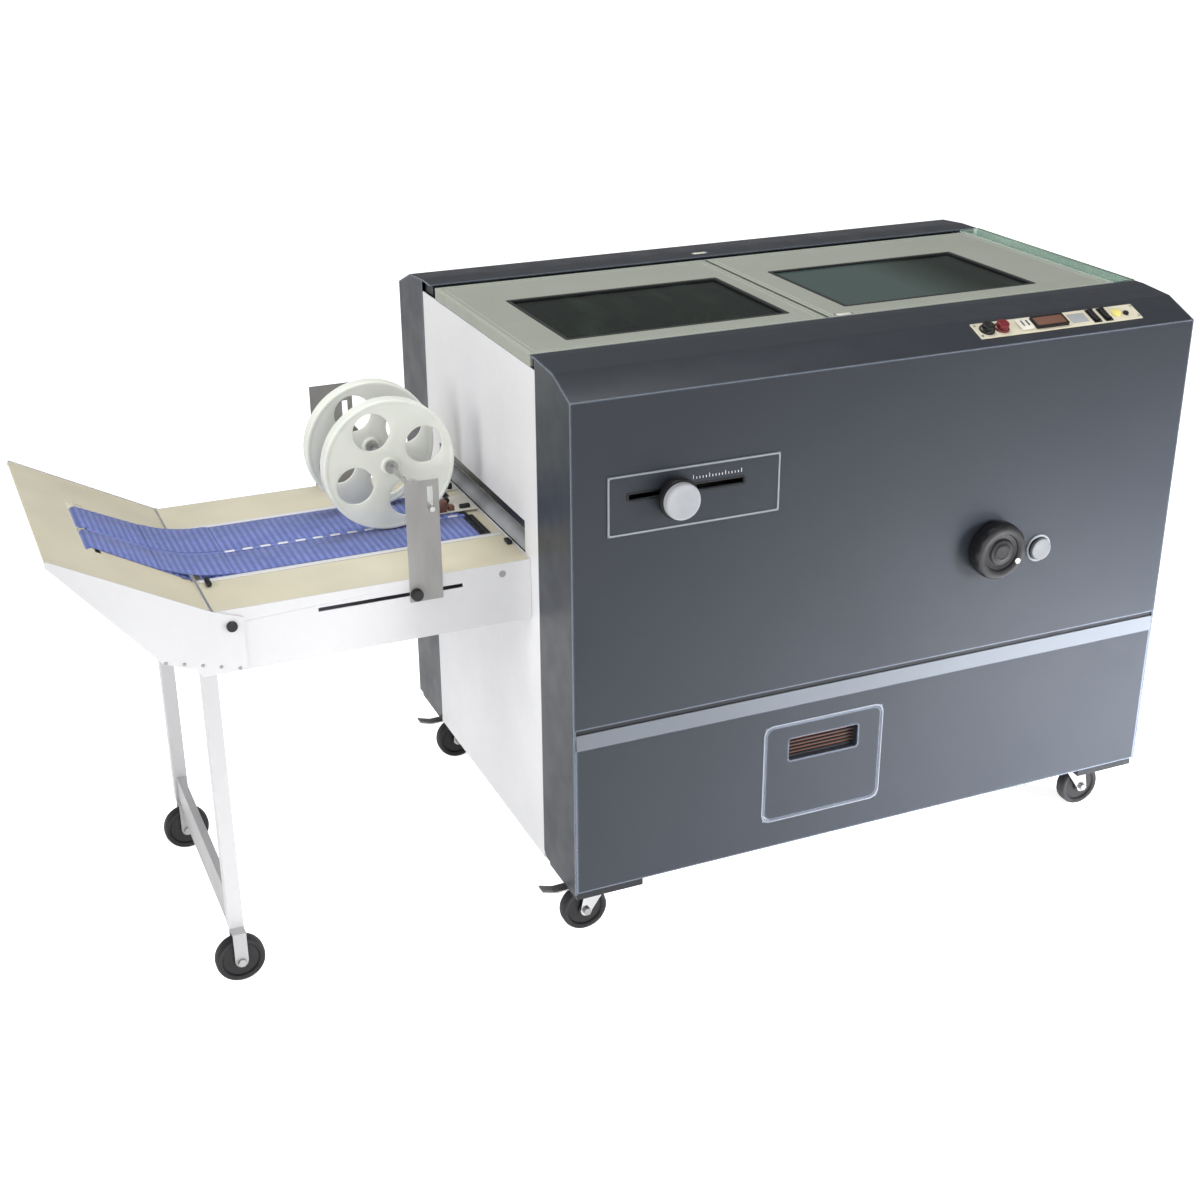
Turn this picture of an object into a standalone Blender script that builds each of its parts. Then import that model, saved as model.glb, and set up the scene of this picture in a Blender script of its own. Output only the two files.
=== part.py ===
"""Booklet folding machine on castors, with a belt delivery table.

Sets of sheets enter at the right end (+X), are stitched and folded under two smoked lids, and leave through
the left end onto the delivery table (-X). The front faces -Y. Metres, +Z up. Pieces are placed from the
cabinet's front, left, floor corner; one empty then carries them all, so that the world origin is on the
floor, under the middle of the whole machine.
"""

import math

import bmesh
import bpy
from mathutils import Vector

# Clearances and sheet stock
gap = 0.0003
joint_gap = 0.0006
travel_gap = 0.0005
overrun = 0.01
lap = 0.002
sheet = 0.002
weld = 0.00001

# Cabinet covers
cover_length = 1.050
cabinet_depth = 0.756
cover_bottom = 0.112
bed_height = 0.770
cover_over_bed = 0.119
shoulder_run = 0.062
shoulder_rise = 0.025
crown_run = 0.062
crown_rise = 0.005
front_flange = 0.022
back_flange = 0.046
return_depth = 0.127
corner_cut = 0.010
front_top = bed_height + cover_over_bed
crown_top = front_top + shoulder_rise + crown_rise
front_opening = shoulder_run + crown_run + front_flange
back_opening = cabinet_depth - shoulder_run - crown_run - back_flange

# Lower front, ledge and hatch
ledge_bottom = 0.3605
ledge_height = 0.024
ledge_shadow = 0.008
ledge_proud = 0.003
lower_panel_bottom = 0.114
panel_inset = 0.004
hatch_left = 0.320
hatch_width = 0.206
hatch_bottom = 0.163
hatch_height = 0.164
recess_width = 0.123
recess_height = 0.038
recess_drop = 0.026
recess_depth = 0.014
hatch_middle = hatch_left + hatch_width / 2
ledge_top = ledge_bottom + ledge_height
upper_front_bottom = ledge_top + ledge_shadow

# End panels, with the slots that the paper passes through
end_panel_bottom = 0.106
end_panel_inset = 0.001
exit_slot_near = 0.182
exit_slot_height = 0.0525
infeed_slot_near = 0.165
infeed_slot_height = 0.055
exit_slot_far = cabinet_depth - exit_slot_near
infeed_slot_far = cabinet_depth - infeed_slot_near

# Machine frame
frame_bottom = 0.1125
rail_height = 0.025
rail_width = 0.030
post_depth = 0.023
mid_rail_height = 0.043
side_plate_near = 0.130
side_plate = 0.008
frame_drop = 0.009
floor_sheet = 0.006
castor_pad = 0.110
castor_pad_drop = 0.0125
side_plate_far = cabinet_depth - side_plate_near
frame_left = end_panel_inset + sheet + gap
frame_right = cover_length - frame_left
frame_top = front_top - frame_drop
rail_top = frame_bottom + rail_height
pad_bottom = frame_bottom - castor_pad_drop
bay_near = side_plate_near + side_plate + gap
bay_far = side_plate_far - side_plate - gap

# Top frame, under the lids
top_frame_height = 0.020
top_frame_edge = 0.030
lid_bar = 0.028
hinge_rod_radius = 0.003
hinge_height = 0.008
hinge_setback = 0.011
lug_width = 0.010
top_frame_top = frame_top + gap + top_frame_height

# Lids and their panes
lid_gap = 0.002
lid_split_share = 10 / 21
right_lid_margin = 0.042
lid_thickness = 0.018
lid_back_gutter = 0.020
window_front = 0.049
window_back = 0.125
left_window_start = 0.079
left_window_end = 0.039
right_window_start = 0.0605
right_window_end = 0.117
pane_thickness = 0.005
pane_drop = 0.0025
knuckle_radius = 0.006
knuckle_width = 0.040
knuckle_inset = 0.080
lid_open = 80
lid_bottom = top_frame_top + gap
lid_top = lid_bottom + lid_thickness
lid_front = front_opening + lid_gap
lid_back = back_opening - lid_back_gutter
hinge_y = lid_back + hinge_setback
window_depth = lid_back - lid_front - window_front - window_back
right_lid_end = cover_length - right_lid_margin
lid_split = right_lid_end * lid_split_share
left_window_width = lid_split - lid_gap / 2 - left_window_start - left_window_end
right_window_width = right_lid_end - lid_split - right_window_start - right_window_end
hinge_z = top_frame_top + hinge_height

# Infeed guard
guard_sheet = 0.004
guard_gap = 0.0035
guard_near = 0.150
guard_back_margin = 0.173
guard_over_bed = 0.036
guard_start = right_lid_end + guard_gap
guard_far = cabinet_depth - guard_back_margin
guard_bottom = bed_height + guard_over_bed
guard_right = cover_length - end_panel_inset + gap + guard_sheet

# Front controls: format slider
slider_left = 0.054
slider_width = 0.271
slider_under_slot = 0.056
slider_height = 0.090
slider_plate_thickness = 0.001
slot_left = 0.086
slot_length = 0.181
slot_height = 0.0085
slot_drop = 0.146
slider_x = 0.158
slider_knob_radius = 0.027
slider_knob_depth = 0.014
slider_knob_proud = 0.022
slider_knob_drop = 0.006
slider_knob_shift = 0.003
slider_stem_width = 0.008
slider_block_width = 0.030
slider_block_height = 0.024
slider_block_depth = 0.010
slot_z = front_top - slot_drop
slider_bottom = slot_z - slider_under_slot

# Front controls: hand wheel, its shaft and the release button
hand_wheel_inset = 0.343
hand_wheel_drop = 0.204
hand_wheel_radius = 0.046
hand_wheel_depth = 0.026
hand_wheel_proud = 0.004
hand_wheel_round = 0.003
hub_radius = 0.014
shaft_radius = 0.008
pulley_radius = 0.020
pulley_flange = 0.004
pulley_width = 0.012
flange_width = 0.002
pulley_near = 0.098
belt_thickness = 0.003
release_offset = 0.090
release_drop = 0.017
release_radius = 0.018
release_proud = 0.007
release_stem = 0.009
release_travel = 0.003
hand_wheel_x = cover_length - hand_wheel_inset
hand_wheel_z = bed_height - hand_wheel_drop
release_x = hand_wheel_x + release_offset
release_z = hand_wheel_z - release_drop

# Control plate on the front slope
control_inset = 0.383
control_width = 0.297
control_depth = 0.036
control_share = 0.55
control_thickness = 0.002
window_inset = 0.005
button_radius = 0.010
button_height = 0.008
button_stem = 0.005
button_travel = 0.003
button_collar = 0.004
stop_offset = 0.020
start_offset = 0.046
display_offset = 0.104
display_width = 0.056
display_depth = 0.022
display_height = 0.003
rocker_offsets = (0.214, 0.235)
rocker_width = 0.009
rocker_length = 0.026
rocker_height = 0.005
rocker_crown = 0.002
rocker_swing = 8
rocker_pin = 0.0015
control_left = cover_length - control_inset
slope = math.atan2(shoulder_rise, shoulder_run)

# Inside: paper bed, fold rollers, fold blade and exit roller
bed_margin = 0.030
blade_x = 0.284
blade_slot = 0.012
blade_thickness = 0.003
blade_margin = 0.030
blade_rest = 0.008
blade_height = 0.080
blade_beam = 0.020
blade_travel = 0.045
rod_radius = 0.006
rod_inset = 0.014
roller_radius = 0.0215
roller_nip = 0.001
roller_drop = 0.070
journal_radius = 0.008
gear_teeth = 22
gear_width = 0.010
gear_near = 0.1145
addendum_share = 0.08
dedendum_share = 0.10
exit_roller_radius = 0.008
exit_roller_x = 0.014
exit_roller_rise = 0.036
exit_journal = 0.004
roller_z = bed_height - roller_drop
roller_centre_gap = 2 * roller_radius + roller_nip

# Inside: stitching heads and main motor
stitch_inset = 0.345
stitch_bar = 0.030
stitch_bar_rise = 0.080
stitch_head_width = 0.052
stitch_head_depth = 0.040
stitch_head_height = 0.078
stitch_spread = 0.160
spool_radius = 0.026
spool_width = 0.020
motor_x = 0.620
motor_radius = 0.045
motor_length = 0.180
motor_foot = 0.012
motor_near = 0.220
stitch_x = cover_length - stitch_inset
stitch_bar_z = bed_height + stitch_bar_rise

# Power inlet in the back cover
inlet_x = 0.120
inlet_z = 0.200
inlet_width = 0.050
inlet_height = 0.030
inlet_depth = 0.030
inlet_mouth = 0.024
inlet_mouth_height = 0.017
inlet_bore = 0.016
inlet_pin = 0.002
inlet_pin_recess = 0.007

# Delivery table
table_near = 0.160
table_top_z = 0.604
table_depth = 0.095
table_reach = 0.468
table_plate = 0.002
wall_nose = 0.038
wall_nose_drop = 0.034
wall_toe = 0.024
side_slot_end = 0.146
side_slot_right = 0.106
side_slot_drop = 0.023
side_slot_height = 0.006
table_far = cabinet_depth - table_near
side_slot_left = table_reach - side_slot_end
side_slot_z = table_top_z - side_slot_drop
exit_roller_z = table_top_z + exit_roller_rise
table_bottom = table_top_z - table_depth

# Delivery belts and their rollers
belt_near_start = 0.280
belt_near_width = 0.082
belt_far_start = 0.372
belt_far_margin = 0.118
delivery_belt = 0.002
drive_roller_radius = 0.016
drive_roller_x = 0.044
tail_roller_setback = 0.030
delivery_journal = 0.005
belt_slot_margin = 0.004
belt_far_width = table_far - belt_far_margin - belt_far_start
tail_roller_x = table_reach - tail_roller_setback

# Ramp at the table's outer end
ramp_pivot_setback = 0.022
ramp_pivot_drop = 0.024
ramp_fold_gap = 0.004
ramp_length = 0.236
ramp_angle = math.radians(28)
ramp_down = 28
ramp_belt_length = 0.150
ramp_nose = 0.007
ramp_roller_radius = 0.006
ramp_pin = 0.003
cheek_overlap = 0.034
cheek_toe_reach = 0.077
cheek_toe_drop = 0.063
pivot_boss = 0.007
pivot_boss_proud = 0.004
ramp_pivot_x = table_reach - ramp_pivot_setback
ramp_pivot_z = table_top_z - ramp_pivot_drop
ramp_fold_x = table_reach + ramp_fold_gap
cheek_toe_x = table_reach + cheek_toe_reach
cheek_toe_z = table_top_z - cheek_toe_drop

# Press discs, their axle and brackets
disc_radius = 0.103
disc_x = 0.150
disc_width = 0.024
disc_web = 0.004
disc_rim = 0.006
disc_hub = 0.017
disc_hole_radius = 0.029
disc_hole_ring = 0.061
disc_holes = 4
disc_phase_share = 0.28
disc_near_start = 0.352
disc_spacing = 0.100
disc_bore = 0.0043
axle_radius = 0.004
axle_overhang = 0.008
disc_lift = 0.028
bracket_left = 0.187
bracket_width = 0.050
bracket_foot = 0.036
bracket_height = 0.148
far_bracket_extra = 0.020
bracket_slot = 0.0088
clamp_x = 0.178
clamp_radius = 0.008
clamp_depth = 0.010
clamp_shank = 0.0025
bracket_forward = 0.045
bracket_stop = 0.016
bracket_bottom = table_top_z - bracket_foot
bracket_top = table_top_z + bracket_height
bracket_back = side_slot_left - clamp_x - bracket_stop

# Leg frame under the table
leg_setout = 0.015
leg_tube = 0.022
leg_drop = 0.034
leg_rail_height = 0.044
leg_rail_thickness = 0.012
leg_plate_bottom = 0.055
leg_plate_thickness = 0.006
fork_offset = 0.015
fork_plate = 0.003
fork_width = 0.020
leg_x = table_reach + leg_setout
leg_top = table_top_z - leg_drop

# Wheels and castors
wheel_radius = 0.0375
wheel_width = 0.022
wheel_bore = 0.0044
wheel_axle = 0.004
hub_width = 0.0235
hub_outer = 0.011
tread = 0.006
wheel_round = 0.003
castor_inset_x = 0.075
castor_inset_right = 0.087
castor_inset_y = 0.074
castor_trail = 0.032
castor_cap = 0.022
castor_cap_height = 0.012
crown_thickness = 0.004
lever_pivot_back = -0.004
lever_pivot_up = 0.043
lever_length = 0.076
lever_width = 0.018
lever_thickness = 0.003
lever_swing = 12

# How round the turned pieces are
round_sides = 24
fine_sides = 32
small_sides = 12

# Where the whole machine's middle lies
ramp_end = ramp_fold_x + ramp_length * math.cos(ramp_angle)
front_reach = slider_knob_proud + slider_knob_depth
middle_x = (guard_right - ramp_end) / 2
middle_y = (cabinet_depth - front_reach) / 2

# Colour, roughness and metallic value of each finish
finishes = {
    "slate": ((0.085, 0.094, 0.112), 0.42, 0.0),
    "dark_slate": ((0.050, 0.055, 0.066), 0.5, 0.0),
    "pale_grey": ((0.50, 0.51, 0.53), 0.4, 0.0),
    "white": ((0.86, 0.86, 0.87), 0.4, 0.0),
    "lid_grey": ((0.54, 0.55, 0.50), 0.45, 0.0),
    "smoked": ((0.02, 0.05, 0.045), 0.08, 0.0),
    "cream": ((0.70, 0.67, 0.53), 0.5, 0.0),
    "belt_blue": ((0.09, 0.14, 0.45), 0.6, 0.0),
    "disc_white": ((0.76, 0.76, 0.70), 0.45, 0.0),
    "steel": ((0.55, 0.55, 0.56), 0.3, 1.0),
    "zinc": ((0.45, 0.44, 0.44), 0.45, 0.8),
    "rubber": ((0.02, 0.02, 0.022), 0.7, 0.0),
    "black": ((0.02, 0.02, 0.02), 0.35, 0.0),
    "red": ((0.30, 0.02, 0.03), 0.35, 0.0),
    "brass": ((0.60, 0.45, 0.15), 0.3, 1.0),
    "machine_green": ((0.20, 0.26, 0.12), 0.5, 0.0),
}

parts = bpy.data.collections.new("booklet_folding_machine")
cutters = bpy.data.collections.new("cutters")
pivots = {}


def clear_scene():
    for obj in list(bpy.data.objects):
        bpy.data.objects.remove(obj, do_unlink=True)
    for collection in (parts, cutters):
        bpy.context.scene.collection.children.link(collection)


def pivot(name, place, parent=None):
    """An empty on a joint's axis. The place is measured from the cabinet's front, left, floor corner."""
    empty = bpy.data.objects.new(name, None)
    empty.empty_display_size = lid_thickness
    parts.objects.link(empty)
    empty.parent = parent
    pivots[empty] = Vector(place)
    empty.location = pivots[empty] - (pivots[parent] if parent else Vector())
    return empty


def add_object(name, data, place, finish, parent):
    obj = bpy.data.objects.new(name, data)
    parts.objects.link(obj)
    obj.parent = parent
    obj.location = Vector(place) - pivots[parent]
    if finish:
        colour, roughness, metallic = finishes[finish]
        paint = bpy.data.materials.new(f"{name}_{finish}")
        paint.use_nodes = True
        shader = paint.node_tree.nodes["Principled BSDF"]
        shader.inputs["Base Color"].default_value = (*colour, 1)
        shader.inputs["Roughness"].default_value = roughness
        shader.inputs["Metallic"].default_value = metallic
        data.materials.append(paint)
    return obj


def box(name, low, high, finish, parent):
    low, high = Vector(low), Vector(high)
    mesh = bpy.data.meshes.new(name)
    shape = bmesh.new()
    bmesh.ops.create_cube(shape, size=1)
    bmesh.ops.scale(shape, vec=high - low, verts=shape.verts)
    shape.to_mesh(mesh)
    shape.free()
    return add_object(name, mesh, (low + high) / 2, finish, parent)


def rod(name, start, end, radius, finish, parent, sides=small_sides):
    start, end = Vector(start), Vector(end)
    mesh = bpy.data.meshes.new(name)
    shape = bmesh.new()
    bmesh.ops.create_cone(
        shape, cap_ends=True, segments=sides, radius1=radius, radius2=radius, depth=(end - start).length
    )
    shape.to_mesh(mesh)
    shape.free()
    obj = add_object(name, mesh, (start + end) / 2, finish, parent)
    obj.rotation_mode = "QUATERNION"
    obj.rotation_quaternion = (end - start).to_track_quat("Z", "Y")
    smooth(obj)
    return obj


def smooth(obj):
    obj.data.shade_smooth()
    obj.data.set_sharp_from_angle(angle=math.radians(35))


def turned(name, profile, centre, finish, parent, sides=round_sides, ring=False):
    """A profile of (radius, distance along -Y) points, top to bottom down its outer side, turned about Y."""
    count = len(profile)
    edges = [(i, i + 1) for i in range(count - 1)] + ([(count - 1, 0)] if ring else [])
    mesh = bpy.data.meshes.new(name)
    mesh.from_pydata([(radius, 0, height) for radius, height in profile], edges, [])
    obj = add_object(name, mesh, centre, finish, parent)
    obj.rotation_euler = (math.pi / 2, 0, 0)
    screw = obj.modifiers.new("turn", "SCREW")
    screw.steps = screw.render_steps = sides
    screw.use_merge_vertices = True
    screw.merge_threshold = weld
    screw.use_smooth_shade = False
    return obj


def circle(across, up, radius, sides=small_sides, phase=0.0):
    turns = [phase + 2 * math.pi * i / sides for i in range(sides)]
    return [(across + radius * math.cos(a), up + radius * math.sin(a)) for a in turns]


def rectangle(left, right, bottom, top):
    return [(left, bottom), (right, bottom), (right, top), (left, top)]


def plate(name, facing, outlines, low, high, finish, parent):
    """A flat outline with holes, extruded from low to high along the axis that it faces (X, Y or Z)."""
    curve = bpy.data.curves.new(name, "CURVE")
    curve.dimensions = "2D"
    curve.fill_mode = "BOTH"
    curve.extrude = (high - low) / 2
    for outline in outlines:
        spline = curve.splines.new("POLY")
        spline.points.add(len(outline) - 1)
        for point, (across, up) in zip(spline.points, outline):
            point.co = (across, up, 0, 1)
        spline.use_cyclic_u = True
    middle = (low + high) / 2
    place = {"X": (middle, 0, 0), "Y": (0, middle, 0), "Z": (0, 0, middle)}[facing]
    turn = {"X": (math.pi / 2, 0, math.pi / 2), "Y": (math.pi / 2, 0, 0), "Z": (0, 0, 0)}[facing]
    obj = add_object(name, curve, place, finish, parent)
    obj.rotation_euler = turn
    return obj


def as_mesh(curve):
    """A curve as a mesh object with its caps welded, so that Booleans can use it."""
    bpy.context.view_layer.update()
    world = curve.matrix_world.copy()
    name, parent, data = curve.name, curve.parent, curve.data
    paints = [slot for slot in data.materials if slot]
    evaluated = curve.evaluated_get(bpy.context.evaluated_depsgraph_get())
    mesh = bpy.data.meshes.new_from_object(evaluated)
    bpy.data.objects.remove(curve)
    shape = bmesh.new()
    shape.from_mesh(mesh)
    bmesh.ops.remove_doubles(shape, verts=shape.verts, dist=weld)
    shape.to_mesh(mesh)
    shape.free()
    mesh.materials.clear()
    for paint in paints:
        mesh.materials.append(paint)
    obj = bpy.data.objects.new(name, mesh)
    parts.objects.link(obj)
    obj.parent = parent
    obj.matrix_world = world
    return obj


def boolean(target, others, operation):
    for other in others:
        if other.type == "CURVE":
            other = as_mesh(other)
        parts.objects.unlink(other)
        cutters.objects.link(other)
        other.hide_render = True
        other.display_type = "WIRE"
        change = target.modifiers.new(operation.lower(), "BOOLEAN")
        change.operation = operation
        change.object = other
    return target


def cut(target, *others):
    return boolean(target, others, "DIFFERENCE")


def unite(target, *others):
    return boolean(target, others, "UNION")


def shell(name, points, faces, thickness, finish, parent):
    """An open surface given its sheet thickness inwards."""
    mesh = bpy.data.meshes.new(name)
    mesh.from_pydata(points, [], faces)
    shape = bmesh.new()
    shape.from_mesh(mesh)
    bmesh.ops.recalc_face_normals(shape, faces=shape.faces)
    shape.to_mesh(mesh)
    shape.free()
    obj = add_object(name, mesh, (0, 0, 0), finish, parent)
    solid = obj.modifiers.new("sheet", "SOLIDIFY")
    solid.thickness = thickness
    solid.offset = -1
    solid.use_even_offset = True
    return obj


def cover_shell(name, front, back_edge, finish, parent):
    """A cover bent from one sheet: a vertical face, two slopes and a flange, with a return at each end.

    front turns a distance behind the face into a place along Y, so that the back cover is the mirror image.
    """
    profile = [
        (0, cover_bottom),
        (0, front_top),
        (shoulder_run, front_top + shoulder_rise),
        (shoulder_run + crown_run, crown_top),
        (return_depth, crown_top),
        (back_edge, crown_top),
    ]
    lower = [(return_depth, cover_bottom + corner_cut), (return_depth - corner_cut, cover_bottom)]
    points = [(x, front(y), z) for x in (0, cover_length) for y, z in profile + lower]
    count = len(profile + lower)
    faces = [(i, i + 1, count + i + 1, count + i) for i in range(len(profile) - 1)]
    end = [i for i in range(count) if i != len(profile) - 1]
    faces += [tuple(end), tuple(count + i for i in end)]
    return shell(name, points, faces, sheet, finish, parent)


def make_frame(root):
    rails = [
        ((frame_left, sheet + gap, frame_bottom), (frame_right, rail_width, rail_top)),
        ((frame_left, cabinet_depth - rail_width, frame_bottom),
         (frame_right, cabinet_depth - sheet - gap, rail_top)),
    ]
    for start in (frame_left + lap / 2, frame_right - rail_width - lap / 2):
        rails.append(((start, rail_width - lap, frame_bottom + lap / 2),
                      (start + rail_width, cabinet_depth - rail_width + lap, rail_top - lap / 2)))
        rails.append(((start, 2 * sheet, rail_top - lap),
                      (start + rail_width, post_depth - lap / 2, ledge_bottom + lap)))
        for near in (2 * sheet, cabinet_depth - 2 * sheet - castor_pad):
            left = start if start < middle_x else start + rail_width - castor_pad
            rails.append(((left, near, pad_bottom), (left + castor_pad, near + castor_pad, frame_bottom + lap)))
    rails.append(((frame_left, sheet + gap, ledge_bottom + lap / 2),
                  (frame_right, post_depth, ledge_bottom + mid_rail_height)))
    rails.append(((frame_left + lap, side_plate_near + lap, frame_bottom + 2 * lap),
                  (frame_right - lap, side_plate_far - lap, frame_bottom + 2 * lap + floor_sheet)))
    rails.append(((frame_left, side_plate_near, rail_top - 2 * lap),
                  (frame_right, side_plate_near + side_plate, frame_top)))
    rails.append(((frame_left, side_plate_far - side_plate, rail_top - 2 * lap),
                  (frame_right, side_plate_far, frame_top)))
    low, high = rails[0]
    frame = box("machine_frame", low, high, "dark_slate", root)
    unite(frame, *(box(f"frame_bar_{i}", low, high, None, root) for i, (low, high) in enumerate(rails[1:])))
    through = side_plate_near - overrun, side_plate_far + overrun
    for x, z, radius in (
        (left_roller_x(), roller_z, journal_radius),
        (right_roller_x(), roller_z, journal_radius),
        (exit_roller_x, exit_roller_z, exit_journal),
    ):
        cut(frame, rod("bore", (x, through[0], z), (x, through[1], z), radius + gap, None, root, fine_sides))
    cut(frame, rod("bore", (hand_wheel_x, through[0], hand_wheel_z),
                   (hand_wheel_x, side_plate_near + side_plate + overrun, hand_wheel_z),
                   shaft_radius + gap, None, root, fine_sides))


def left_roller_x():
    return blade_x - roller_centre_gap / 2


def right_roller_x():
    return blade_x + roller_centre_gap / 2


def make_covers(root):
    front = cover_shell("front_cover", lambda y: y, front_opening, "slate", root)
    cut(front, box("front_cut", (panel_inset - gap, -overrun, cover_bottom - overrun),
                   (cover_length - panel_inset + gap, sheet + lap, upper_front_bottom), None, root))
    cut(front, box("slider_cut", (slot_left, -overrun, slot_z - slot_height / 2),
                   (slot_left + slot_length, overrun, slot_z + slot_height / 2), None, root))
    for x, z, radius in ((hand_wheel_x, hand_wheel_z, shaft_radius), (release_x, release_z, release_stem)):
        cut(front, rod("hole", (x, -overrun, z), (x, overrun, z), radius + travel_gap, None, root, fine_sides))
    cut(front, sloped_box("control_cut", control_left + window_inset, control_width - 2 * window_inset,
                          control_depth - 2 * window_inset, -overrun, overrun, None, root))

    back = cover_shell("back_cover", lambda y: cabinet_depth - y, cabinet_depth - back_opening, "slate", root)
    cut(back, box("inlet_cut", (inlet_x - inlet_width / 2, cabinet_depth - overrun, inlet_z - inlet_height / 2),
                  (inlet_x + inlet_width / 2, cabinet_depth + overrun, inlet_z + inlet_height / 2), None, root))

    left, right = panel_inset, cover_length - panel_inset
    hole = rectangle(hatch_left, hatch_left + hatch_width, hatch_bottom, hatch_bottom + hatch_height)
    plate("lower_front_panel", "Y", [rectangle(left, right, lower_panel_bottom, ledge_bottom - gap), hole],
          0, sheet, "slate", root)
    plate("ledge_strip", "X",
          [[(-ledge_proud, ledge_bottom), (sheet, ledge_bottom), (sheet, ledge_top), (0, ledge_top)]],
          left, right, "pale_grey", root)

    near, far = return_depth + travel_gap, cabinet_depth - return_depth - travel_gap
    edge = rectangle(near, far, end_panel_bottom, top_frame_top - gap)
    exit_hole = rectangle(exit_slot_near, exit_slot_far, table_top_z + travel_gap,
                          table_top_z + exit_slot_height)
    infeed_hole = rectangle(infeed_slot_near, infeed_slot_far, bed_height - infeed_slot_height / 2,
                            bed_height + infeed_slot_height / 2)
    plate("left_end_panel", "X", [edge, exit_hole], end_panel_inset, end_panel_inset + sheet, "white", root)
    plate("right_end_panel", "X", [edge, infeed_hole], cover_length - end_panel_inset - sheet,
          cover_length - end_panel_inset, "white", root)


def make_top_frame(root):
    near, far = side_plate_near - lap, side_plate_far + lap
    edge = top_frame_edge
    holes = [
        rectangle(frame_left + edge, lid_split - lid_bar / 2, lid_front + edge, lid_back - edge),
        rectangle(lid_split + lid_bar / 2, right_lid_end - edge, lid_front + edge, lid_back - edge),
    ]
    frame = as_mesh(plate("top_frame", "Z", [rectangle(frame_left, frame_right, near, far), *holes],
                          frame_top + gap, top_frame_top, "dark_slate", root))
    under = top_frame_top - lap
    rail_top_z = crown_top - sheet - lap / 2
    unite(
        frame,
        box("front_rail", (frame_left + lap, near + lap, under),
            (frame_right - lap, front_opening - gap, rail_top_z), None, root),
        box("back_rail", (frame_left + lap, back_opening + gap, under),
            (frame_right - lap, far - lap, rail_top_z), None, root),
    )
    for x in (2 * lug_width, lid_split, right_lid_end - lug_width):
        unite(frame, box("lug", (x - lug_width / 2, lid_back + lap, under),
                         (x + lug_width / 2, back_opening + lap, hinge_z + 2 * hinge_rod_radius), None, root))
    unite(frame, rod("hinge_rod", (2 * lug_width, hinge_y, hinge_z),
                     (right_lid_end - lug_width, hinge_y, hinge_z), hinge_rod_radius, None, root))
    for y in (bay_near + rod_inset, bay_far - rod_inset):
        unite(frame, rod("blade_guide", (blade_x, y, bed_height + gap), (blade_x, y, top_frame_top - lap),
                         rod_radius, None, root, round_sides))


def make_lid(name, left, right, window_left, window_width, root):
    hinge = pivot(f"{name}_hinge", ((left + right) / 2, hinge_y, hinge_z), root)
    front = lid_front + window_front
    window = rectangle(window_left, window_left + window_width, front, front + window_depth)
    frame = as_mesh(plate(f"{name}_frame", "Z", [rectangle(left, right, lid_front, lid_back), window],
                          lid_bottom, lid_top, "lid_grey", hinge))
    for x in (left + knuckle_inset, right - knuckle_inset - knuckle_width):
        arm_low = (x, lid_back - lap, hinge_z - knuckle_radius + lap / 2)
        arm_high = (x + knuckle_width, hinge_y, hinge_z + knuckle_radius - lap / 2)
        unite(frame, box("arm", arm_low, arm_high, None, hinge),
              rod("knuckle", (x, hinge_y, hinge_z), (x + knuckle_width, hinge_y, hinge_z),
                  knuckle_radius, None, hinge, small_sides))
        cut(frame, rod("bore", (x - overrun, hinge_y, hinge_z), (x + knuckle_width + overrun, hinge_y, hinge_z),
                       hinge_rod_radius + gap, None, hinge))
    top = lid_top - pane_drop
    box(f"{name}_pane", (window_left + gap, front + gap, top - pane_thickness),
        (window_left + window_width - gap, front + window_depth - gap, top), "smoked", hinge)


def make_lids(root):
    make_lid("left_lid", lid_gap, lid_split - lid_gap / 2, left_window_start, left_window_width, root)
    make_lid("right_lid", lid_split + lid_gap / 2, right_lid_end, lid_split + right_window_start,
             right_window_width, root)


def make_guard(root):
    profile = [(guard_start, crown_top), (guard_right, crown_top), (guard_right, guard_bottom)]
    points = [(x, y, z) for y in (guard_near, guard_far) for x, z in profile]
    shell("infeed_guard", points, [(0, 1, 4, 3), (1, 2, 5, 4)], guard_sheet, "smoked", root)


def slope_point(share, height):
    """A point on the cover's first slope, a share of the way up it, and a height above it."""
    along = Vector((0, shoulder_run, shoulder_rise)) * share
    return Vector((0, 0, front_top)) + along + Vector((0, -math.sin(slope), math.cos(slope))) * height


def sloped_box(name, left, width, depth, bottom, top, finish, parent):
    """A box lying on the slope, centred where the control plate is, from bottom to top above the slope."""
    middle = slope_point(control_share, (bottom + top) / 2)
    obj = box(name, (0, 0, 0), (width, depth, top - bottom), finish, parent)
    obj.location = Vector((left + width / 2, middle.y, middle.z)) - pivots[parent]
    obj.rotation_euler = (slope, 0, 0)
    return obj


def sloped_rod(name, x, bottom, top, radius, finish, parent, sides=small_sides):
    low, high = slope_point(control_share, bottom), slope_point(control_share, top)
    return rod(name, (x, low.y, low.z), (x, high.y, high.z), radius, finish, parent, sides)


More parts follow.
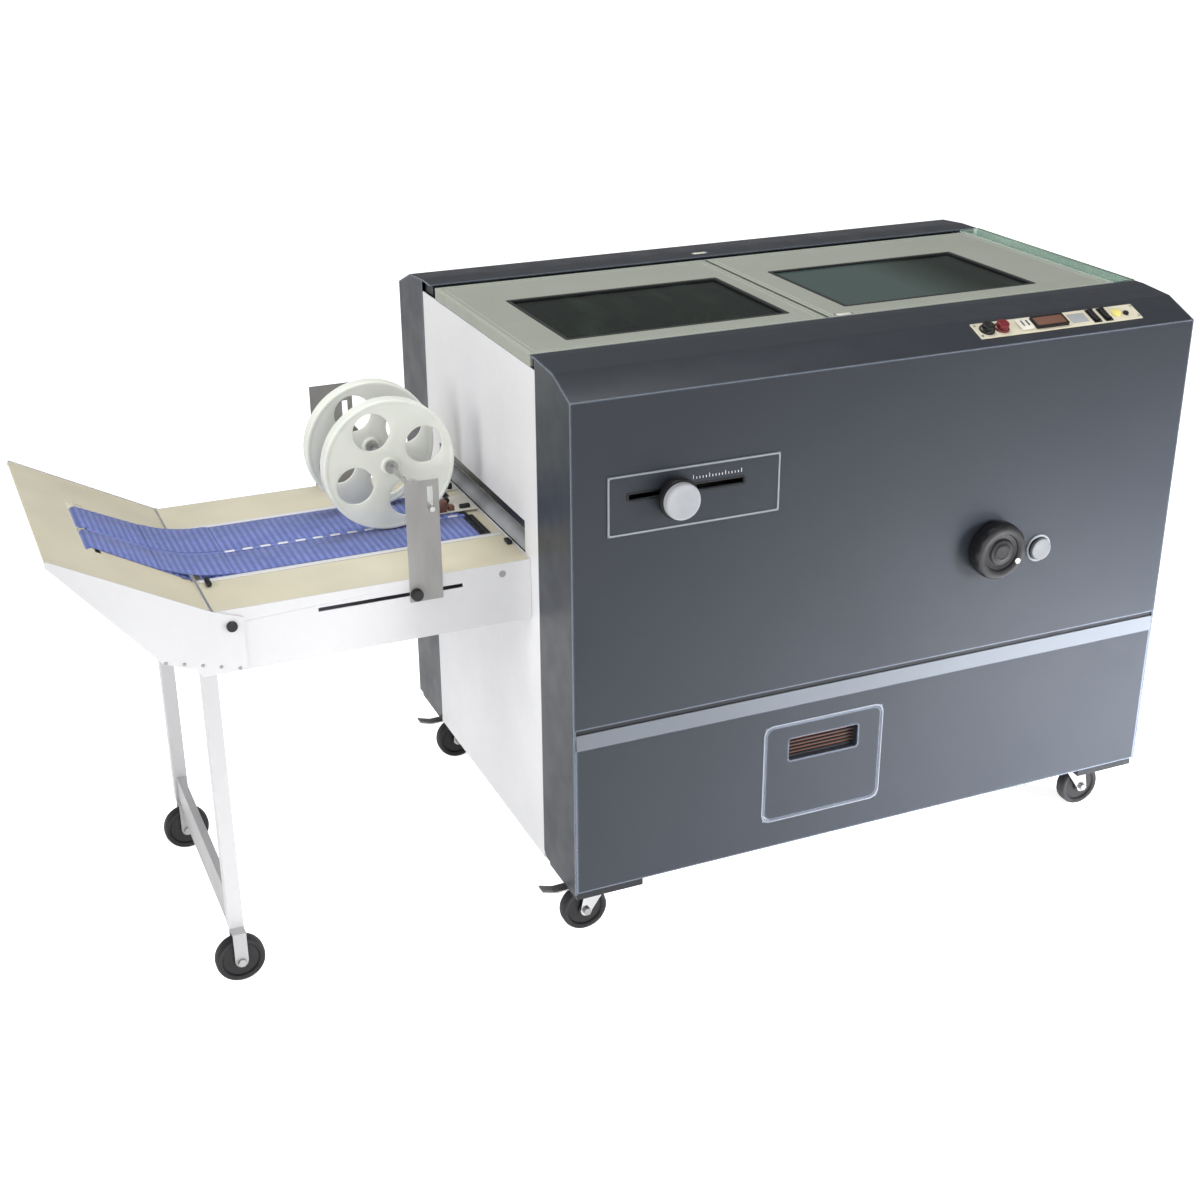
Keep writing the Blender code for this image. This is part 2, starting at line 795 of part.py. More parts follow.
def make_controls(root):
    base = gap
    top = base + control_thickness
    panel = sloped_box("control_plate", control_left, control_width, control_depth, base, top, "cream", root)
    for offset in (stop_offset, start_offset):
        cut(panel, sloped_rod("hole", control_left + offset, -overrun, overrun, button_stem + gap, None, root))
    for offset in rocker_offsets:
        cut(panel, sloped_box("hole", control_left + offset - rocker_width / 2 - travel_gap,
                              rocker_width + 2 * travel_gap, rocker_length + 4 * travel_gap,
                              -overrun, overrun, None, root))
    sloped_box("display", control_left + display_offset, display_width, display_depth,
               top + gap, top + gap + display_height, "black", root)
    for name, offset, finish in (("stop_button", stop_offset, "black"), ("start_button", start_offset, "red")):
        x = control_left + offset
        seat = slope_point(control_share, top)
        centre = pivot(f"{name}_travel", (x, seat.y, seat.z), root)
        cap = top + button_travel + travel_gap
        button = sloped_rod(name, x, cap, cap + button_height, button_radius, finish, centre, round_sides)
        collar = -button_collar
        unite(button, sloped_rod("stem", x, collar - lap, cap + lap, button_stem, None, centre, round_sides),
              sloped_rod("collar", x, collar - button_collar, collar, button_stem + lap, None, centre))
    for number, offset in enumerate(rocker_offsets, 1):
        x = control_left + offset
        seat = slope_point(control_share, top)
        centre = pivot(f"rocker_{number}_pivot", (x, seat.y, seat.z), root)
        half = rocker_length / 2
        key = [(-half, -rocker_crown), (half, -rocker_crown), (half, rocker_height - rocker_crown),
               (0, rocker_height), (-half, rocker_height - rocker_crown)]
        rocker = plate(f"rocker_{number}", "X", [key], x - rocker_width / 2, x + rocker_width / 2, "black", centre)
        rocker.location = (0, 0, 0)
        rocker.rotation_euler = (math.pi / 2, -slope, math.pi / 2)


def make_slider(root):
    plate("slider_plate", "Y",
          [rectangle(slider_left, slider_left + slider_width, slider_bottom, slider_bottom + slider_height),
           rectangle(slot_left, slot_left + slot_length, slot_z - slot_height / 2, slot_z + slot_height / 2)],
          -gap - slider_plate_thickness, -gap, "slate", root)
    centre = pivot("slider_knob_travel", (slider_x, 0, slot_z), root)
    outer = slider_knob_proud + slider_knob_depth
    knob = turned("slider_knob", [
        (0, outer), (slider_knob_radius - lap, outer), (slider_knob_radius, outer - lap),
        (slider_knob_radius, slider_knob_proud), (0, slider_knob_proud),
    ], (slider_x - slider_knob_shift, 0, slot_z - slider_knob_drop), "pale_grey", centre, fine_sides)
    stem = slot_height / 2 - travel_gap
    inside = sheet + gap
    unite(
        knob,
        box("stem", (slider_x - slider_stem_width / 2, -slider_knob_proud - lap, slot_z - stem),
            (slider_x + slider_stem_width / 2, inside + lap, slot_z + stem), None, centre),
        box("block", (slider_x - slider_block_width / 2, inside, slot_z - slider_block_height / 2),
            (slider_x + slider_block_width / 2, inside + slider_block_depth,
             slot_z + slider_block_height / 2), None, centre),
    )


def make_hand_wheel(root):
    centre = pivot("hand_wheel_axis", (hand_wheel_x, 0, hand_wheel_z), root)
    back, front = hand_wheel_proud, hand_wheel_proud + hand_wheel_depth
    rim, edge = hand_wheel_radius, hand_wheel_round
    flange = pulley_radius + pulley_flange
    start, end = pulley_near, pulley_near + pulley_width + 2 * flange_width
    turned("hand_wheel", [
        (0, front), (rim - 2 * edge, front), (rim, front - 2 * edge), (rim, back + edge), (rim - edge, back),
        (hub_radius, back), (hub_radius, travel_gap), (shaft_radius, travel_gap),
        (shaft_radius, -start), (flange, -start), (flange, -start - flange_width),
        (pulley_radius, -start - flange_width), (pulley_radius, -end + flange_width),
        (flange, -end + flange_width), (flange, -end), (shaft_radius, -end),
        (shaft_radius, -side_plate_near - side_plate), (0, -side_plate_near - side_plate),
    ], (hand_wheel_x, 0, hand_wheel_z), "black", centre, fine_sides)

    release = pivot("release_button_travel", (release_x, 0, release_z), root)
    inner = sheet + gap
    turned("release_button", [
        (0, release_proud + release_travel), (release_radius - lap, release_proud + release_travel),
        (release_radius, release_proud + release_travel - lap), (release_radius, release_travel + travel_gap),
        (release_stem, release_travel + travel_gap), (release_stem, -inner),
        (release_stem + lap, -inner), (release_stem + lap, -inner - lap), (0, -inner - lap),
    ], (release_x, 0, release_z), "pale_grey", release, round_sides)


def gear_outline(x, z, teeth, pitch_radius, phase):
    """Tooth by tooth: root, flank, tip, flank, with the teeth narrower than their gaps so that they run free."""
    root_radius = pitch_radius * (1 - dedendum_share)
    tip_radius = pitch_radius * (1 + addendum_share)
    corner_shares = ((-0.30, root_radius), (-0.12, tip_radius), (0.12, tip_radius), (0.30, root_radius))
    points = []
    for tooth in range(teeth):
        for share, radius in corner_shares:
            angle = phase + 2 * math.pi * (tooth + share) / teeth
            points.append((x + radius * math.cos(angle), z + radius * math.sin(angle)))
    return points


def belt_loop(first, second, radius_one, radius_two, thickness, steps):
    """The outer and inner outlines of a belt round two pulleys, as two arcs each."""
    (x1, z1), (x2, z2) = first, second
    run = math.hypot(x2 - x1, z2 - z1)
    heading = math.atan2(z2 - z1, x2 - x1)
    lean = math.asin((radius_one - radius_two) / run)
    outlines = []
    for extra in (thickness + gap, gap):
        outline = []
        for (x, z), radius, start, sweep in (
            ((x1, z1), radius_one, heading + math.pi / 2 - lean, math.pi + 2 * lean),
            ((x2, z2), radius_two, heading - math.pi / 2 + lean, math.pi - 2 * lean),
        ):
            reach = (radius + extra) / (math.cos(sweep / steps / 2) if extra == gap else 1)
            outline += [
                (x + reach * math.cos(start + sweep * i / steps), z + reach * math.sin(start + sweep * i / steps))
                for i in range(steps + 1)
            ]
        outlines.append(outline)
    return outlines


def make_fold_station(root):
    slot = rectangle(blade_x - blade_slot / 2, blade_x + blade_slot / 2,
                     bay_near + blade_margin - lap, bay_far - blade_margin + lap)
    bed = rectangle(bed_margin, cover_length - bed_margin, bay_near, bay_far)
    plate("paper_bed", "Z", [bed, slot], bed_height - sheet, bed_height, "zinc", root)

    pulley_end = pulley_near + pulley_width + 2 * flange_width
    for name, x, phase, driven in (
        ("fold_roller_left", left_roller_x(), 0, True),
        ("fold_roller_right", right_roller_x(), math.pi - math.pi / gear_teeth, False),
    ):
        centre = pivot(f"{name}_axis", (x, side_plate_near, roller_z), root)
        flange = pulley_radius + pulley_flange
        ends = [
            (0, -pulley_near), (flange, -pulley_near), (flange, -pulley_near - flange_width),
            (pulley_radius, -pulley_near - flange_width), (pulley_radius, -pulley_end + flange_width),
            (flange, -pulley_end + flange_width), (flange, -pulley_end), (journal_radius, -pulley_end),
        ] if driven else [(0, -gear_near), (journal_radius, -gear_near)]
        roller = turned(name, ends + [
            (journal_radius, -bay_near), (roller_radius, -bay_near), (roller_radius, -bay_far),
            (journal_radius, -bay_far), (journal_radius, -side_plate_far), (0, -side_plate_far),
        ], (x, 0, roller_z), "zinc", centre)
        tooth_outline = gear_outline(x, roller_z, gear_teeth, roller_centre_gap / 2, phase)
        unite(roller, plate("gear", "Y", [tooth_outline], gear_near, gear_near + gear_width, None, centre))

    axle = pivot("exit_roller_axis", (exit_roller_x, side_plate_near, exit_roller_z), root)
    turned("exit_roller", [
        (0, -side_plate_near), (exit_journal, -side_plate_near), (exit_journal, -bay_near),
        (exit_roller_radius, -bay_near), (exit_roller_radius, -bay_far), (exit_journal, -bay_far),
        (exit_journal, -side_plate_far), (0, -side_plate_far),
    ], (exit_roller_x, 0, exit_roller_z), "steel", axle, small_sides)

    flange_one, flange_two = pulley_near + flange_width + gap, pulley_end - flange_width - gap
    plate("drive_belt", "Y", belt_loop((left_roller_x(), roller_z), (hand_wheel_x, hand_wheel_z),
                                       pulley_radius, pulley_radius, belt_thickness, small_sides),
          flange_one, flange_two, "rubber", root)

    lift = pivot("fold_blade_travel", (blade_x, (bay_near + bay_far) / 2, bed_height + blade_rest), root)
    low, high = bed_height + blade_rest, bed_height + blade_rest + blade_height
    blade = box("fold_blade", (blade_x - blade_thickness / 2, bay_near + blade_margin, low),
                (blade_x + blade_thickness / 2, bay_far - blade_margin, high), "steel", lift)
    unite(blade, box("beam", (blade_x - blade_beam / 2, bay_near + travel_gap, high - blade_beam),
                     (blade_x + blade_beam / 2, bay_far - travel_gap, high - lap / 2), None, lift))
    for y in (bay_near + rod_inset, bay_far - rod_inset):
        cut(blade, rod("bore", (blade_x, y, low), (blade_x, y, high + overrun), rod_radius + gap,
                       None, lift, round_sides))


def make_stitching(root):
    low, high = stitch_bar_z - stitch_bar / 2, stitch_bar_z + stitch_bar / 2
    unit = box("stitching_unit", (stitch_x - stitch_bar / 2, bay_near, low),
               (stitch_x + stitch_bar / 2, bay_far, high), "machine_green", root)
    middle = (bay_near + bay_far) / 2
    for y in (middle - stitch_spread / 2, middle + stitch_spread / 2):
        start, end = y - stitch_head_depth / 2, y + stitch_head_depth / 2
        left = stitch_x - stitch_head_width / 2
        top = frame_top - 2 * lap
        unite(unit, box("head", (left, start, top - stitch_head_height), (left + stitch_head_width, end, top),
                        None, root),
              rod("spool", (left - spool_radius / 2, y - spool_width / 2, stitch_bar_z),
                  (left - spool_radius / 2, y + spool_width / 2, stitch_bar_z), spool_radius, None,
                  root, round_sides))


def make_motor(root):
    floor_top = frame_bottom + 2 * lap + floor_sheet + gap
    centre_z = floor_top + motor_foot + motor_radius - lap
    end = motor_near + motor_length
    motor = rod("main_motor", (motor_x, motor_near, centre_z), (motor_x, end, centre_z), motor_radius,
                "dark_slate", root, round_sides)
    unite(motor, box("foot", (motor_x - motor_radius, motor_near + motor_foot, floor_top),
                     (motor_x + motor_radius, end - motor_foot, floor_top + motor_foot), None, root),
          rod("shaft", (motor_x, motor_near - motor_foot, centre_z), (motor_x, end - lap, centre_z),
              journal_radius, None, root))


def make_inlet(root):
    outer = cabinet_depth - gap
    body = box("power_inlet",
               (inlet_x - inlet_width / 2 + gap, outer - inlet_depth, inlet_z - inlet_height / 2 + gap),
               (inlet_x + inlet_width / 2 - gap, outer, inlet_z + inlet_height / 2 - gap), "black", root)
    cut(body, box("mouth", (inlet_x - inlet_mouth / 2, outer - inlet_bore, inlet_z - inlet_mouth_height / 2),
                  (inlet_x + inlet_mouth / 2, outer + overrun, inlet_z + inlet_mouth_height / 2), None, root))
    for step, rise in ((-1, -1), (0, 1), (1, -1)):
        x, z = inlet_x + step * inlet_mouth / 4, inlet_z + rise * inlet_mouth_height / 8
        unite(body, box("pin", (x - inlet_pin / 2, outer - inlet_bore - lap, z - inlet_pin),
                        (x + inlet_pin / 2, outer - inlet_pin_recess, z + inlet_pin), None, root))


def make_hatch(root):
    hinge = pivot("hatch_hinge", (hatch_middle, 0, hatch_bottom), root)
    door = box("hatch_door", (hatch_left + joint_gap, 0, hatch_bottom + joint_gap),
               (hatch_left + hatch_width - joint_gap, sheet, hatch_bottom + hatch_height - joint_gap),
               "slate", hinge)
    left, right = hatch_middle - recess_width / 2, hatch_middle + recess_width / 2
    top = hatch_bottom + hatch_height - recess_drop
    bottom = top - recess_height
    unite(door, box("pocket", (left - sheet, sheet / 2, bottom - sheet),
                    (right + sheet, recess_depth + sheet, top + sheet), None, hinge))
    cut(door, box("hollow", (left, -overrun, bottom), (right, recess_depth, top), None, hinge))


def make_table(root):
    x = end_panel_inset - gap
    wall = [(x, table_bottom), (x, table_top_z), (-table_reach, table_top_z),
            (-table_reach - wall_nose / 6, table_top_z - 0.7 * wall_nose_drop),
            (-table_reach - wall_nose, table_top_z - wall_nose_drop),
            (-table_reach - wall_nose, table_bottom + wall_toe), (-table_reach - wall_toe, table_bottom)]
    tray = as_mesh(plate("table_tray", "Y", [wall], table_near, table_far, "white", root))
    cut(tray, box("hollow", (-table_reach - wall_nose - overrun, table_near + sheet, table_bottom + sheet),
                  (x - sheet, table_far - sheet, table_top_z + overrun), None, root))
    cut(tray, box("leg_notch", (-table_reach - wall_nose - overrun, table_near + sheet, table_bottom - overrun),
                  (-leg_x + leg_tube / 2 + gap, table_far - sheet, table_bottom + sheet + lap), None, root))
    cut(tray, rod("bore", (-ramp_pivot_x, table_near - overrun, ramp_pivot_z),
                  (-ramp_pivot_x, table_far + overrun, ramp_pivot_z), ramp_pin + gap, None, root, round_sides))
    for start, end in ((table_near - overrun, table_near + overrun), (table_far - overrun, table_far + overrun)):
        cut(tray, box("side_slot", (-side_slot_left, start, side_slot_z - side_slot_height / 2),
                      (-side_slot_right, end, side_slot_z + side_slot_height / 2), None, root))
    bridge = table_top_z - table_plate - gap
    for start in (drive_roller_x + 2 * drive_roller_radius, tail_roller_x - 3 * drive_roller_radius):
        unite(tray, box("cross_bar", (-start - sheet, table_near + sheet / 2,
                                      roller_level() - drive_roller_radius / 2),
                        (-start, table_far - sheet / 2, bridge), None, root))
    for roller_x in (drive_roller_x, tail_roller_x):
        cut(tray, rod("bore", (-roller_x, table_near - overrun, roller_level()),
                      (-roller_x, table_far + overrun, roller_level()), delivery_journal + gap, None, root))

    inner_near, inner_far = table_near + sheet + gap, table_far - sheet - gap
    top = rectangle(-table_reach, x - sheet - gap, inner_near, inner_far)
    reach = drive_roller_radius + delivery_belt + belt_slot_margin
    near, far = belt_near_start - belt_slot_margin, belt_far_start + belt_far_width + belt_slot_margin
    holes = [rectangle(-x - reach, -x + reach, near, far) for x in (drive_roller_x, tail_roller_x)]
    plate("table_top", "Z", [top, *holes], table_top_z - table_plate, table_top_z, "cream", root)


def belt_lanes():
    return (belt_near_start, belt_near_width), (belt_far_start, belt_far_width)


def roller_level():
    """The height of the delivery rollers' axes, at which the belts' upper runs just clear the table top."""
    return table_top_z + gap - drive_roller_radius - gap


def make_delivery_belts(root):
    level = roller_level()
    for name, (start, width) in zip(("delivery_belt_near", "delivery_belt_far"), belt_lanes()):
        plate(name, "Y", belt_loop((-tail_roller_x, level), (-drive_roller_x, level), drive_roller_radius,
                                   drive_roller_radius, delivery_belt, small_sides),
              start, start + width, "belt_blue", root)
    for name, x in (("drive_roller", drive_roller_x), ("tail_roller", tail_roller_x)):
        axle = pivot(f"{name}_axis", (-x, table_near, level), root)
        near, far = belt_near_start - lap, belt_far_start + belt_far_width + lap
        turned(name, [
            (0, -table_near), (delivery_journal, -table_near), (delivery_journal, -near),
            (drive_roller_radius, -near), (drive_roller_radius, -far), (delivery_journal, -far),
            (delivery_journal, -table_far), (0, -table_far),
        ], (-x, 0, level), "zinc", axle)


def ramp_point(along, above):
    """A point on the ramp, a distance up it from the fold and a height above its surface, as (x, z)."""
    cos, sin = math.cos(ramp_angle), math.sin(ramp_angle)
    return -ramp_fold_x - along * cos + above * sin, table_top_z + along * sin + above * cos


def make_ramp(root):
    hinge = pivot("ramp_hinge", (-ramp_pivot_x, (table_near + table_far) / 2, ramp_pivot_z), root)
    near, far = table_near - gap - sheet, table_far + gap + sheet
    deck_outline = [ramp_point(0, 0), ramp_point(ramp_length, 0), ramp_point(ramp_length, -table_plate),
                    ramp_point(0, -table_plate)]
    ramp = as_mesh(plate("ramp", "Y", [deck_outline], near + sheet / 2, far - sheet / 2, "cream", hinge))
    cheek = [(-ramp_pivot_x + cheek_overlap / 2, table_bottom + sheet), (-ramp_pivot_x + cheek_overlap / 2,
             ramp_pivot_z + cheek_overlap / 3), ramp_point(0, table_plate),
             ramp_point(ramp_length - lap / 2, table_plate),
             ramp_point(ramp_length - lap / 2, -3 * table_plate), (-cheek_toe_x, cheek_toe_z),
             (-ramp_fold_x, table_bottom + sheet)]
    for start, boss, pin in (
        (near, (near - pivot_boss_proud, near + sheet / 3), (near + sheet / 4, table_near + sheet)),
        (far - sheet, (far - sheet / 3, far + pivot_boss_proud), (table_far - sheet, far - sheet / 4)),
    ):
        unite(ramp, plate("cheek", "Y", [cheek], start, start + sheet, None, hinge),
              rod("boss", (-ramp_pivot_x, boss[0], ramp_pivot_z), (-ramp_pivot_x, boss[1], ramp_pivot_z),
                  pivot_boss, None, hinge),
              rod("pin", (-ramp_pivot_x, pin[0], ramp_pivot_z), (-ramp_pivot_x, pin[1], ramp_pivot_z),
                  ramp_pin, None, hinge))
    reach = ramp_roller_radius + delivery_belt + belt_slot_margin
    for along in (ramp_nose, ramp_belt_length):
        for start, width in belt_lanes():
            window = box("window", (-reach, start - belt_slot_margin, -overrun),
                         (reach, start + width + belt_slot_margin, overrun), None, hinge)
            x, z = ramp_point(along, 0)
            window.location = Vector((x, start + width / 2, z)) - pivots[hinge]
            window.rotation_euler = (0, ramp_angle, 0)
            cut(ramp, window)
    bars = [ramp_point(along, gap - ramp_roller_radius) for along in (ramp_belt_length, ramp_nose)]
    for x, z in bars:
        unite(ramp, rod("nose_bar", (x, near + sheet / 3, z), (x, far - sheet / 3, z), ramp_roller_radius,
                        None, hinge))
    for name, (start, width) in zip(("ramp_belt_near", "ramp_belt_far"), belt_lanes()):
        plate(name, "Y", belt_loop(*bars, ramp_roller_radius, ramp_roller_radius, delivery_belt, small_sides // 2),
              start, start + width, "belt_blue", hinge)


def make_press_discs(root):
    carriage = pivot("disc_carriage_travel", (-disc_x, table_near, side_slot_z), root)
    axle_z = table_top_z + 2 * gap + delivery_belt + disc_radius + gap
    slot_low, slot_high = axle_z - axle_radius - gap, axle_z + disc_lift + axle_radius + gap
    slot = rectangle(-disc_x - bracket_slot / 2, -disc_x + bracket_slot / 2, slot_low, slot_high)
    near, far = table_near - gap, table_far + gap
    for name, low, high, extra, knob, shank in (
        ("bracket_near", near - sheet, near, 0, (near - sheet - clamp_depth, near - sheet / 2),
         (near - sheet, table_near + sheet)),
        ("bracket_far", far, far + sheet, far_bracket_extra, (far + sheet / 2, far + sheet + clamp_depth),
         (table_far - sheet, far + sheet)),
    ):
        outline = rectangle(-bracket_left - extra, -bracket_left + bracket_width, bracket_bottom,
                            bracket_top + extra)
        bracket = as_mesh(plate(name, "Y", [outline, slot], low, high, "zinc", carriage))
        unite(bracket, rod("clamp", (-clamp_x, knob[0], side_slot_z), (-clamp_x, knob[1], side_slot_z),
                           clamp_radius, None, carriage),
              rod("shank", (-clamp_x, shank[0], side_slot_z), (-clamp_x, shank[1], side_slot_z),
                  clamp_shank, None, carriage))

    lift = pivot("disc_lift_travel", (-disc_x, table_near, axle_z), carriage)
    rod("disc_axle", (-disc_x, near - sheet - axle_overhang, axle_z),
        (-disc_x, far + sheet + axle_overhang, axle_z), axle_radius, "steel", lift, small_sides)
    for number, name in enumerate(("press_disc_near", "press_disc_far")):
        start = disc_near_start + number * disc_spacing
        spin = pivot(f"{name}_axis", (-disc_x, start, axle_z), lift)
        end = start + disc_width
        inner = disc_radius - disc_rim
        disc = turned(name, [
            (disc_bore, -start), (disc_radius, -start), (disc_radius, -end), (inner, -end),
            (inner, -start - disc_web), (disc_hub, -start - disc_web), (disc_hub, -end), (disc_bore, -end),
        ], (-disc_x, 0, axle_z), "disc_white", spin, fine_sides, ring=True)
        for i in range(disc_holes):
            angle = 2 * math.pi * (i + disc_phase_share) / disc_holes
            x = -disc_x + disc_hole_ring * math.cos(angle)
            z = axle_z + disc_hole_ring * math.sin(angle)
            cut(disc, rod("hole", (x, start - overrun, z), (x, start + disc_web + overrun, z),
                          disc_hole_radius, None, spin, round_sides))


def make_legs(root):
    near = table_near + sheet + gap
    far = table_far - sheet - gap - leg_tube
    half = leg_tube / 2
    fork_top = 2 * wheel_radius + leg_rail_thickness
    fork_reach = hub_width / 2 + travel_gap + fork_plate / 2
    tubes = []
    for name, start in (("leg_frame", near), ("far_tube", far)):
        tubes.append(box(name, (-leg_x - half, start, fork_top - lap), (-leg_x + half, start + leg_tube, leg_top),
                         "white" if name == "leg_frame" else None, root))
    frame, far_tube = tubes
    unite(frame, far_tube, box("rail", (-leg_x - leg_rail_thickness / 2, near + lap, fork_top - lap / 2),
                               (-leg_x + leg_rail_thickness / 2, far + leg_tube - lap,
                                fork_top + leg_rail_height), None, root),
          box("lower_plate", (-leg_x - leg_plate_thickness / 2, near + half - fork_offset + fork_reach, leg_plate_bottom),
              (-leg_x + leg_plate_thickness / 2, far + half - fork_offset - fork_reach,
               fork_top + lap / 2), None, root))
    for name, start in (("leg_wheel_near", near), ("leg_wheel_far", far)):
        centre_y = start + half - fork_offset
        inside = hub_width / 2 + travel_gap
        half_crown = fork_width / 2 + gap
        unite(frame, box("crown", (-leg_x - half_crown, centre_y - inside - fork_plate - gap,
                                   fork_top - fork_plate),
                         (-leg_x + half_crown, start + leg_tube - 2 * lap, fork_top), None, root))
        for low in (centre_y - inside - fork_plate, centre_y + inside):
            blade = rectangle(-leg_x - fork_width / 2, -leg_x + fork_width / 2, wheel_radius,
                              fork_top - fork_plate / 2)
            unite(frame, plate("fork", "Y", [blade], low, low + fork_plate, None, root),
                  rod("fork_end", (-leg_x, low + gap, wheel_radius), (-leg_x, low + fork_plate - gap, wheel_radius),
                      fork_width / 2 - gap, None, root))
        unite(frame, rod("axle", (-leg_x, centre_y - inside - fork_plate - lap / 2, wheel_radius),
                         (-leg_x, centre_y + inside + fork_plate + lap / 2, wheel_radius),
                         wheel_axle, None, root))
        make_wheel(name, -leg_x, centre_y, root)


def make_wheel(name, x, y, parent):
    spin = pivot(f"{name}_axis", (x, y, wheel_radius), parent)
    half, hub = wheel_width / 2, hub_width / 2
    rim = wheel_radius - tread
    turned(name, [
        (wheel_bore, hub), (hub_outer, hub), (hub_outer, half - lap), (rim - lap, half - lap), (rim, half),
        (wheel_radius - wheel_round, half), (wheel_radius, half - wheel_round),
        (wheel_radius, wheel_round - half), (wheel_radius - wheel_round, -half), (rim, -half),
        (rim - lap, lap - half), (hub_outer, lap - half), (hub_outer, -hub), (wheel_bore, -hub),
    ], (x, y, wheel_radius), "rubber", spin, round_sides, ring=True)


def make_castor(name, x, y, trail, brake, root):
    """A fork under its pad, with the wheel trailing to one side, and on the braked ones a foot lever."""
    swivel = pivot(f"{name}_swivel", (x, y, pad_bottom), root)
    axle_x = x + trail
    inside = hub_width / 2 + travel_gap
    crown = pad_bottom - gap - castor_cap_height
    fork = rod(f"{name}_fork", (x, y, crown - crown_thickness / 2), (x, y, pad_bottom - gap), castor_cap,
               "steel", swivel, round_sides)
    reach = sorted((x - math.copysign(castor_cap, trail) / 2, axle_x))
    unite(fork, box("crown", (reach[0], y - inside - fork_plate, crown - crown_thickness),
                    (reach[1], y + inside + fork_plate, crown), None, swivel))
    for low in (y - inside - fork_plate, y + inside):
        cheek = [(reach[0], crown - lap), (reach[1], crown - lap), (axle_x + fork_width / 2, wheel_radius),
                 (axle_x - fork_width / 2, wheel_radius)]
        unite(fork, plate("cheek", "Y", [cheek], low, low + fork_plate, None, swivel),
              rod("cheek_end", (axle_x, low + gap, wheel_radius), (axle_x, low + fork_plate - gap, wheel_radius),
                  fork_width / 2 - gap, None, swivel))
    unite(fork, rod("axle", (axle_x, y - inside - fork_plate - lap / 2, wheel_radius),
                    (axle_x, y + inside + fork_plate + lap / 2, wheel_radius), wheel_axle, None, swivel))
    make_wheel(f"{name}_wheel", axle_x, y, swivel)
    if brake:
        side = math.copysign(1, trail)
        pivot_x, pivot_z = axle_x + side * lever_pivot_back, wheel_radius + lever_pivot_up
        hinge = pivot(f"{name}_lever_pivot", (pivot_x, y, pivot_z), swivel)
        ends = sorted((pivot_x, pivot_x + side * lever_length))
        lever = box(f"{name}_brake_lever", (ends[0], y - lever_width / 2, pivot_z - lever_thickness / 2),
                    (ends[1], y + lever_width / 2, pivot_z + lever_thickness / 2), "zinc", hinge)
        unite(lever, rod("barrel", (pivot_x, y - inside + gap, pivot_z), (pivot_x, y + inside - gap, pivot_z),
                         lever_thickness, None, hinge))


def make_castors(root):
    left, right = castor_inset_x, cover_length - castor_inset_right
    near, far = castor_inset_y, cabinet_depth - castor_inset_y
    make_castor("castor_front_left", left, near, -castor_trail, True, root)
    make_castor("castor_back_left", left, far, -castor_trail, True, root)
    make_castor("castor_front_right", right, near, castor_trail, False, root)
    make_castor("castor_back_right", right, far, castor_trail, False, root)


def main():
    clear_scene()
    root = pivot("machine", (0, 0, 0))
    root.location = (-middle_x, -middle_y, 0)
    make_frame(root)
    make_covers(root)
    make_top_frame(root)
    make_lids(root)
    make_guard(root)
    make_controls(root)
    make_slider(root)
    make_hand_wheel(root)
    make_fold_station(root)
    make_stitching(root)
    make_motor(root)
    make_inlet(root)
    make_hatch(root)
    make_table(root)
    make_delivery_belts(root)
    make_ramp(root)
    make_press_discs(root)
    make_legs(root)
    make_castors(root)
    bpy.context.view_layer.update()


main()
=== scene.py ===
"""Looks of a booklet folding machine: paint, glass, belts, discs, controls, wheels and a plain studio.

Every piece is worked out in cabinet places: x from the cabinet's left end, y from its front face, z from the
floor, in metres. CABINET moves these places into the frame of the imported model.
"""

import math

import bmesh
import bpy
import numpy as np
from bpy.props import FloatProperty, FloatVectorProperty, PointerProperty
from bpy.types import Operator, Panel, PropertyGroup
from mathutils import Matrix, Vector


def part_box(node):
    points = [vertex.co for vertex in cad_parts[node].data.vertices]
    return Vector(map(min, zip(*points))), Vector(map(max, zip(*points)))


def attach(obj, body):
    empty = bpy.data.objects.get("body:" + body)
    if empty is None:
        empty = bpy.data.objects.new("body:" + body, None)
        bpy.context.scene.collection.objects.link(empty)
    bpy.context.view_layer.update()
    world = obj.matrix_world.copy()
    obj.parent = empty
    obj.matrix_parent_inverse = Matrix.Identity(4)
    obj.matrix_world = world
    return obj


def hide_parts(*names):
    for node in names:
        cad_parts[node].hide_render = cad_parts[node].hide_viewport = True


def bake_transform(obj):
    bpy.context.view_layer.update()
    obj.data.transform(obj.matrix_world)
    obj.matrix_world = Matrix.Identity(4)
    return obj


bl_info = {
    "name": "Booklet folder looks",
    "version": (1, 0, 0),
    "blender": (4, 5, 0),
    "location": "View3D > Sidebar > Folder",
    "description": "Dresses the packed booklet folding machine with paints, glass, belts and small pieces",
    "category": "Object",
}

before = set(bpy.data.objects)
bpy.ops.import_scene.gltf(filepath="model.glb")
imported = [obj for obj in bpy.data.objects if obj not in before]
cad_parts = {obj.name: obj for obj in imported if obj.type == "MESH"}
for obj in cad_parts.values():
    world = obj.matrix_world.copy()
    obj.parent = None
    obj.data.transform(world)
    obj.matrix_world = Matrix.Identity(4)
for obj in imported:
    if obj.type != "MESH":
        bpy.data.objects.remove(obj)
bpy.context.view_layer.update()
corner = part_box("front_cover")[0]
CABINET = np.array((corner.x, corner.y, 0.0))

# Cabinet
LENGTH = 1.050
FRONT_TOP = 0.889
SLOPE_RUN, SLOPE_RISE = 0.062, 0.025
SLOPE = math.atan2(SLOPE_RISE, SLOPE_RUN)
CONTROL_SHARE = 0.55
CONTROL_SEAT = 0.0023
CASTORS = ("front_left", "front_right", "back_left", "back_right")
CASTOR_LEFT, CASTOR_RIGHT = 0.075, LENGTH - 0.087
PLATE_SCREW = 0.034

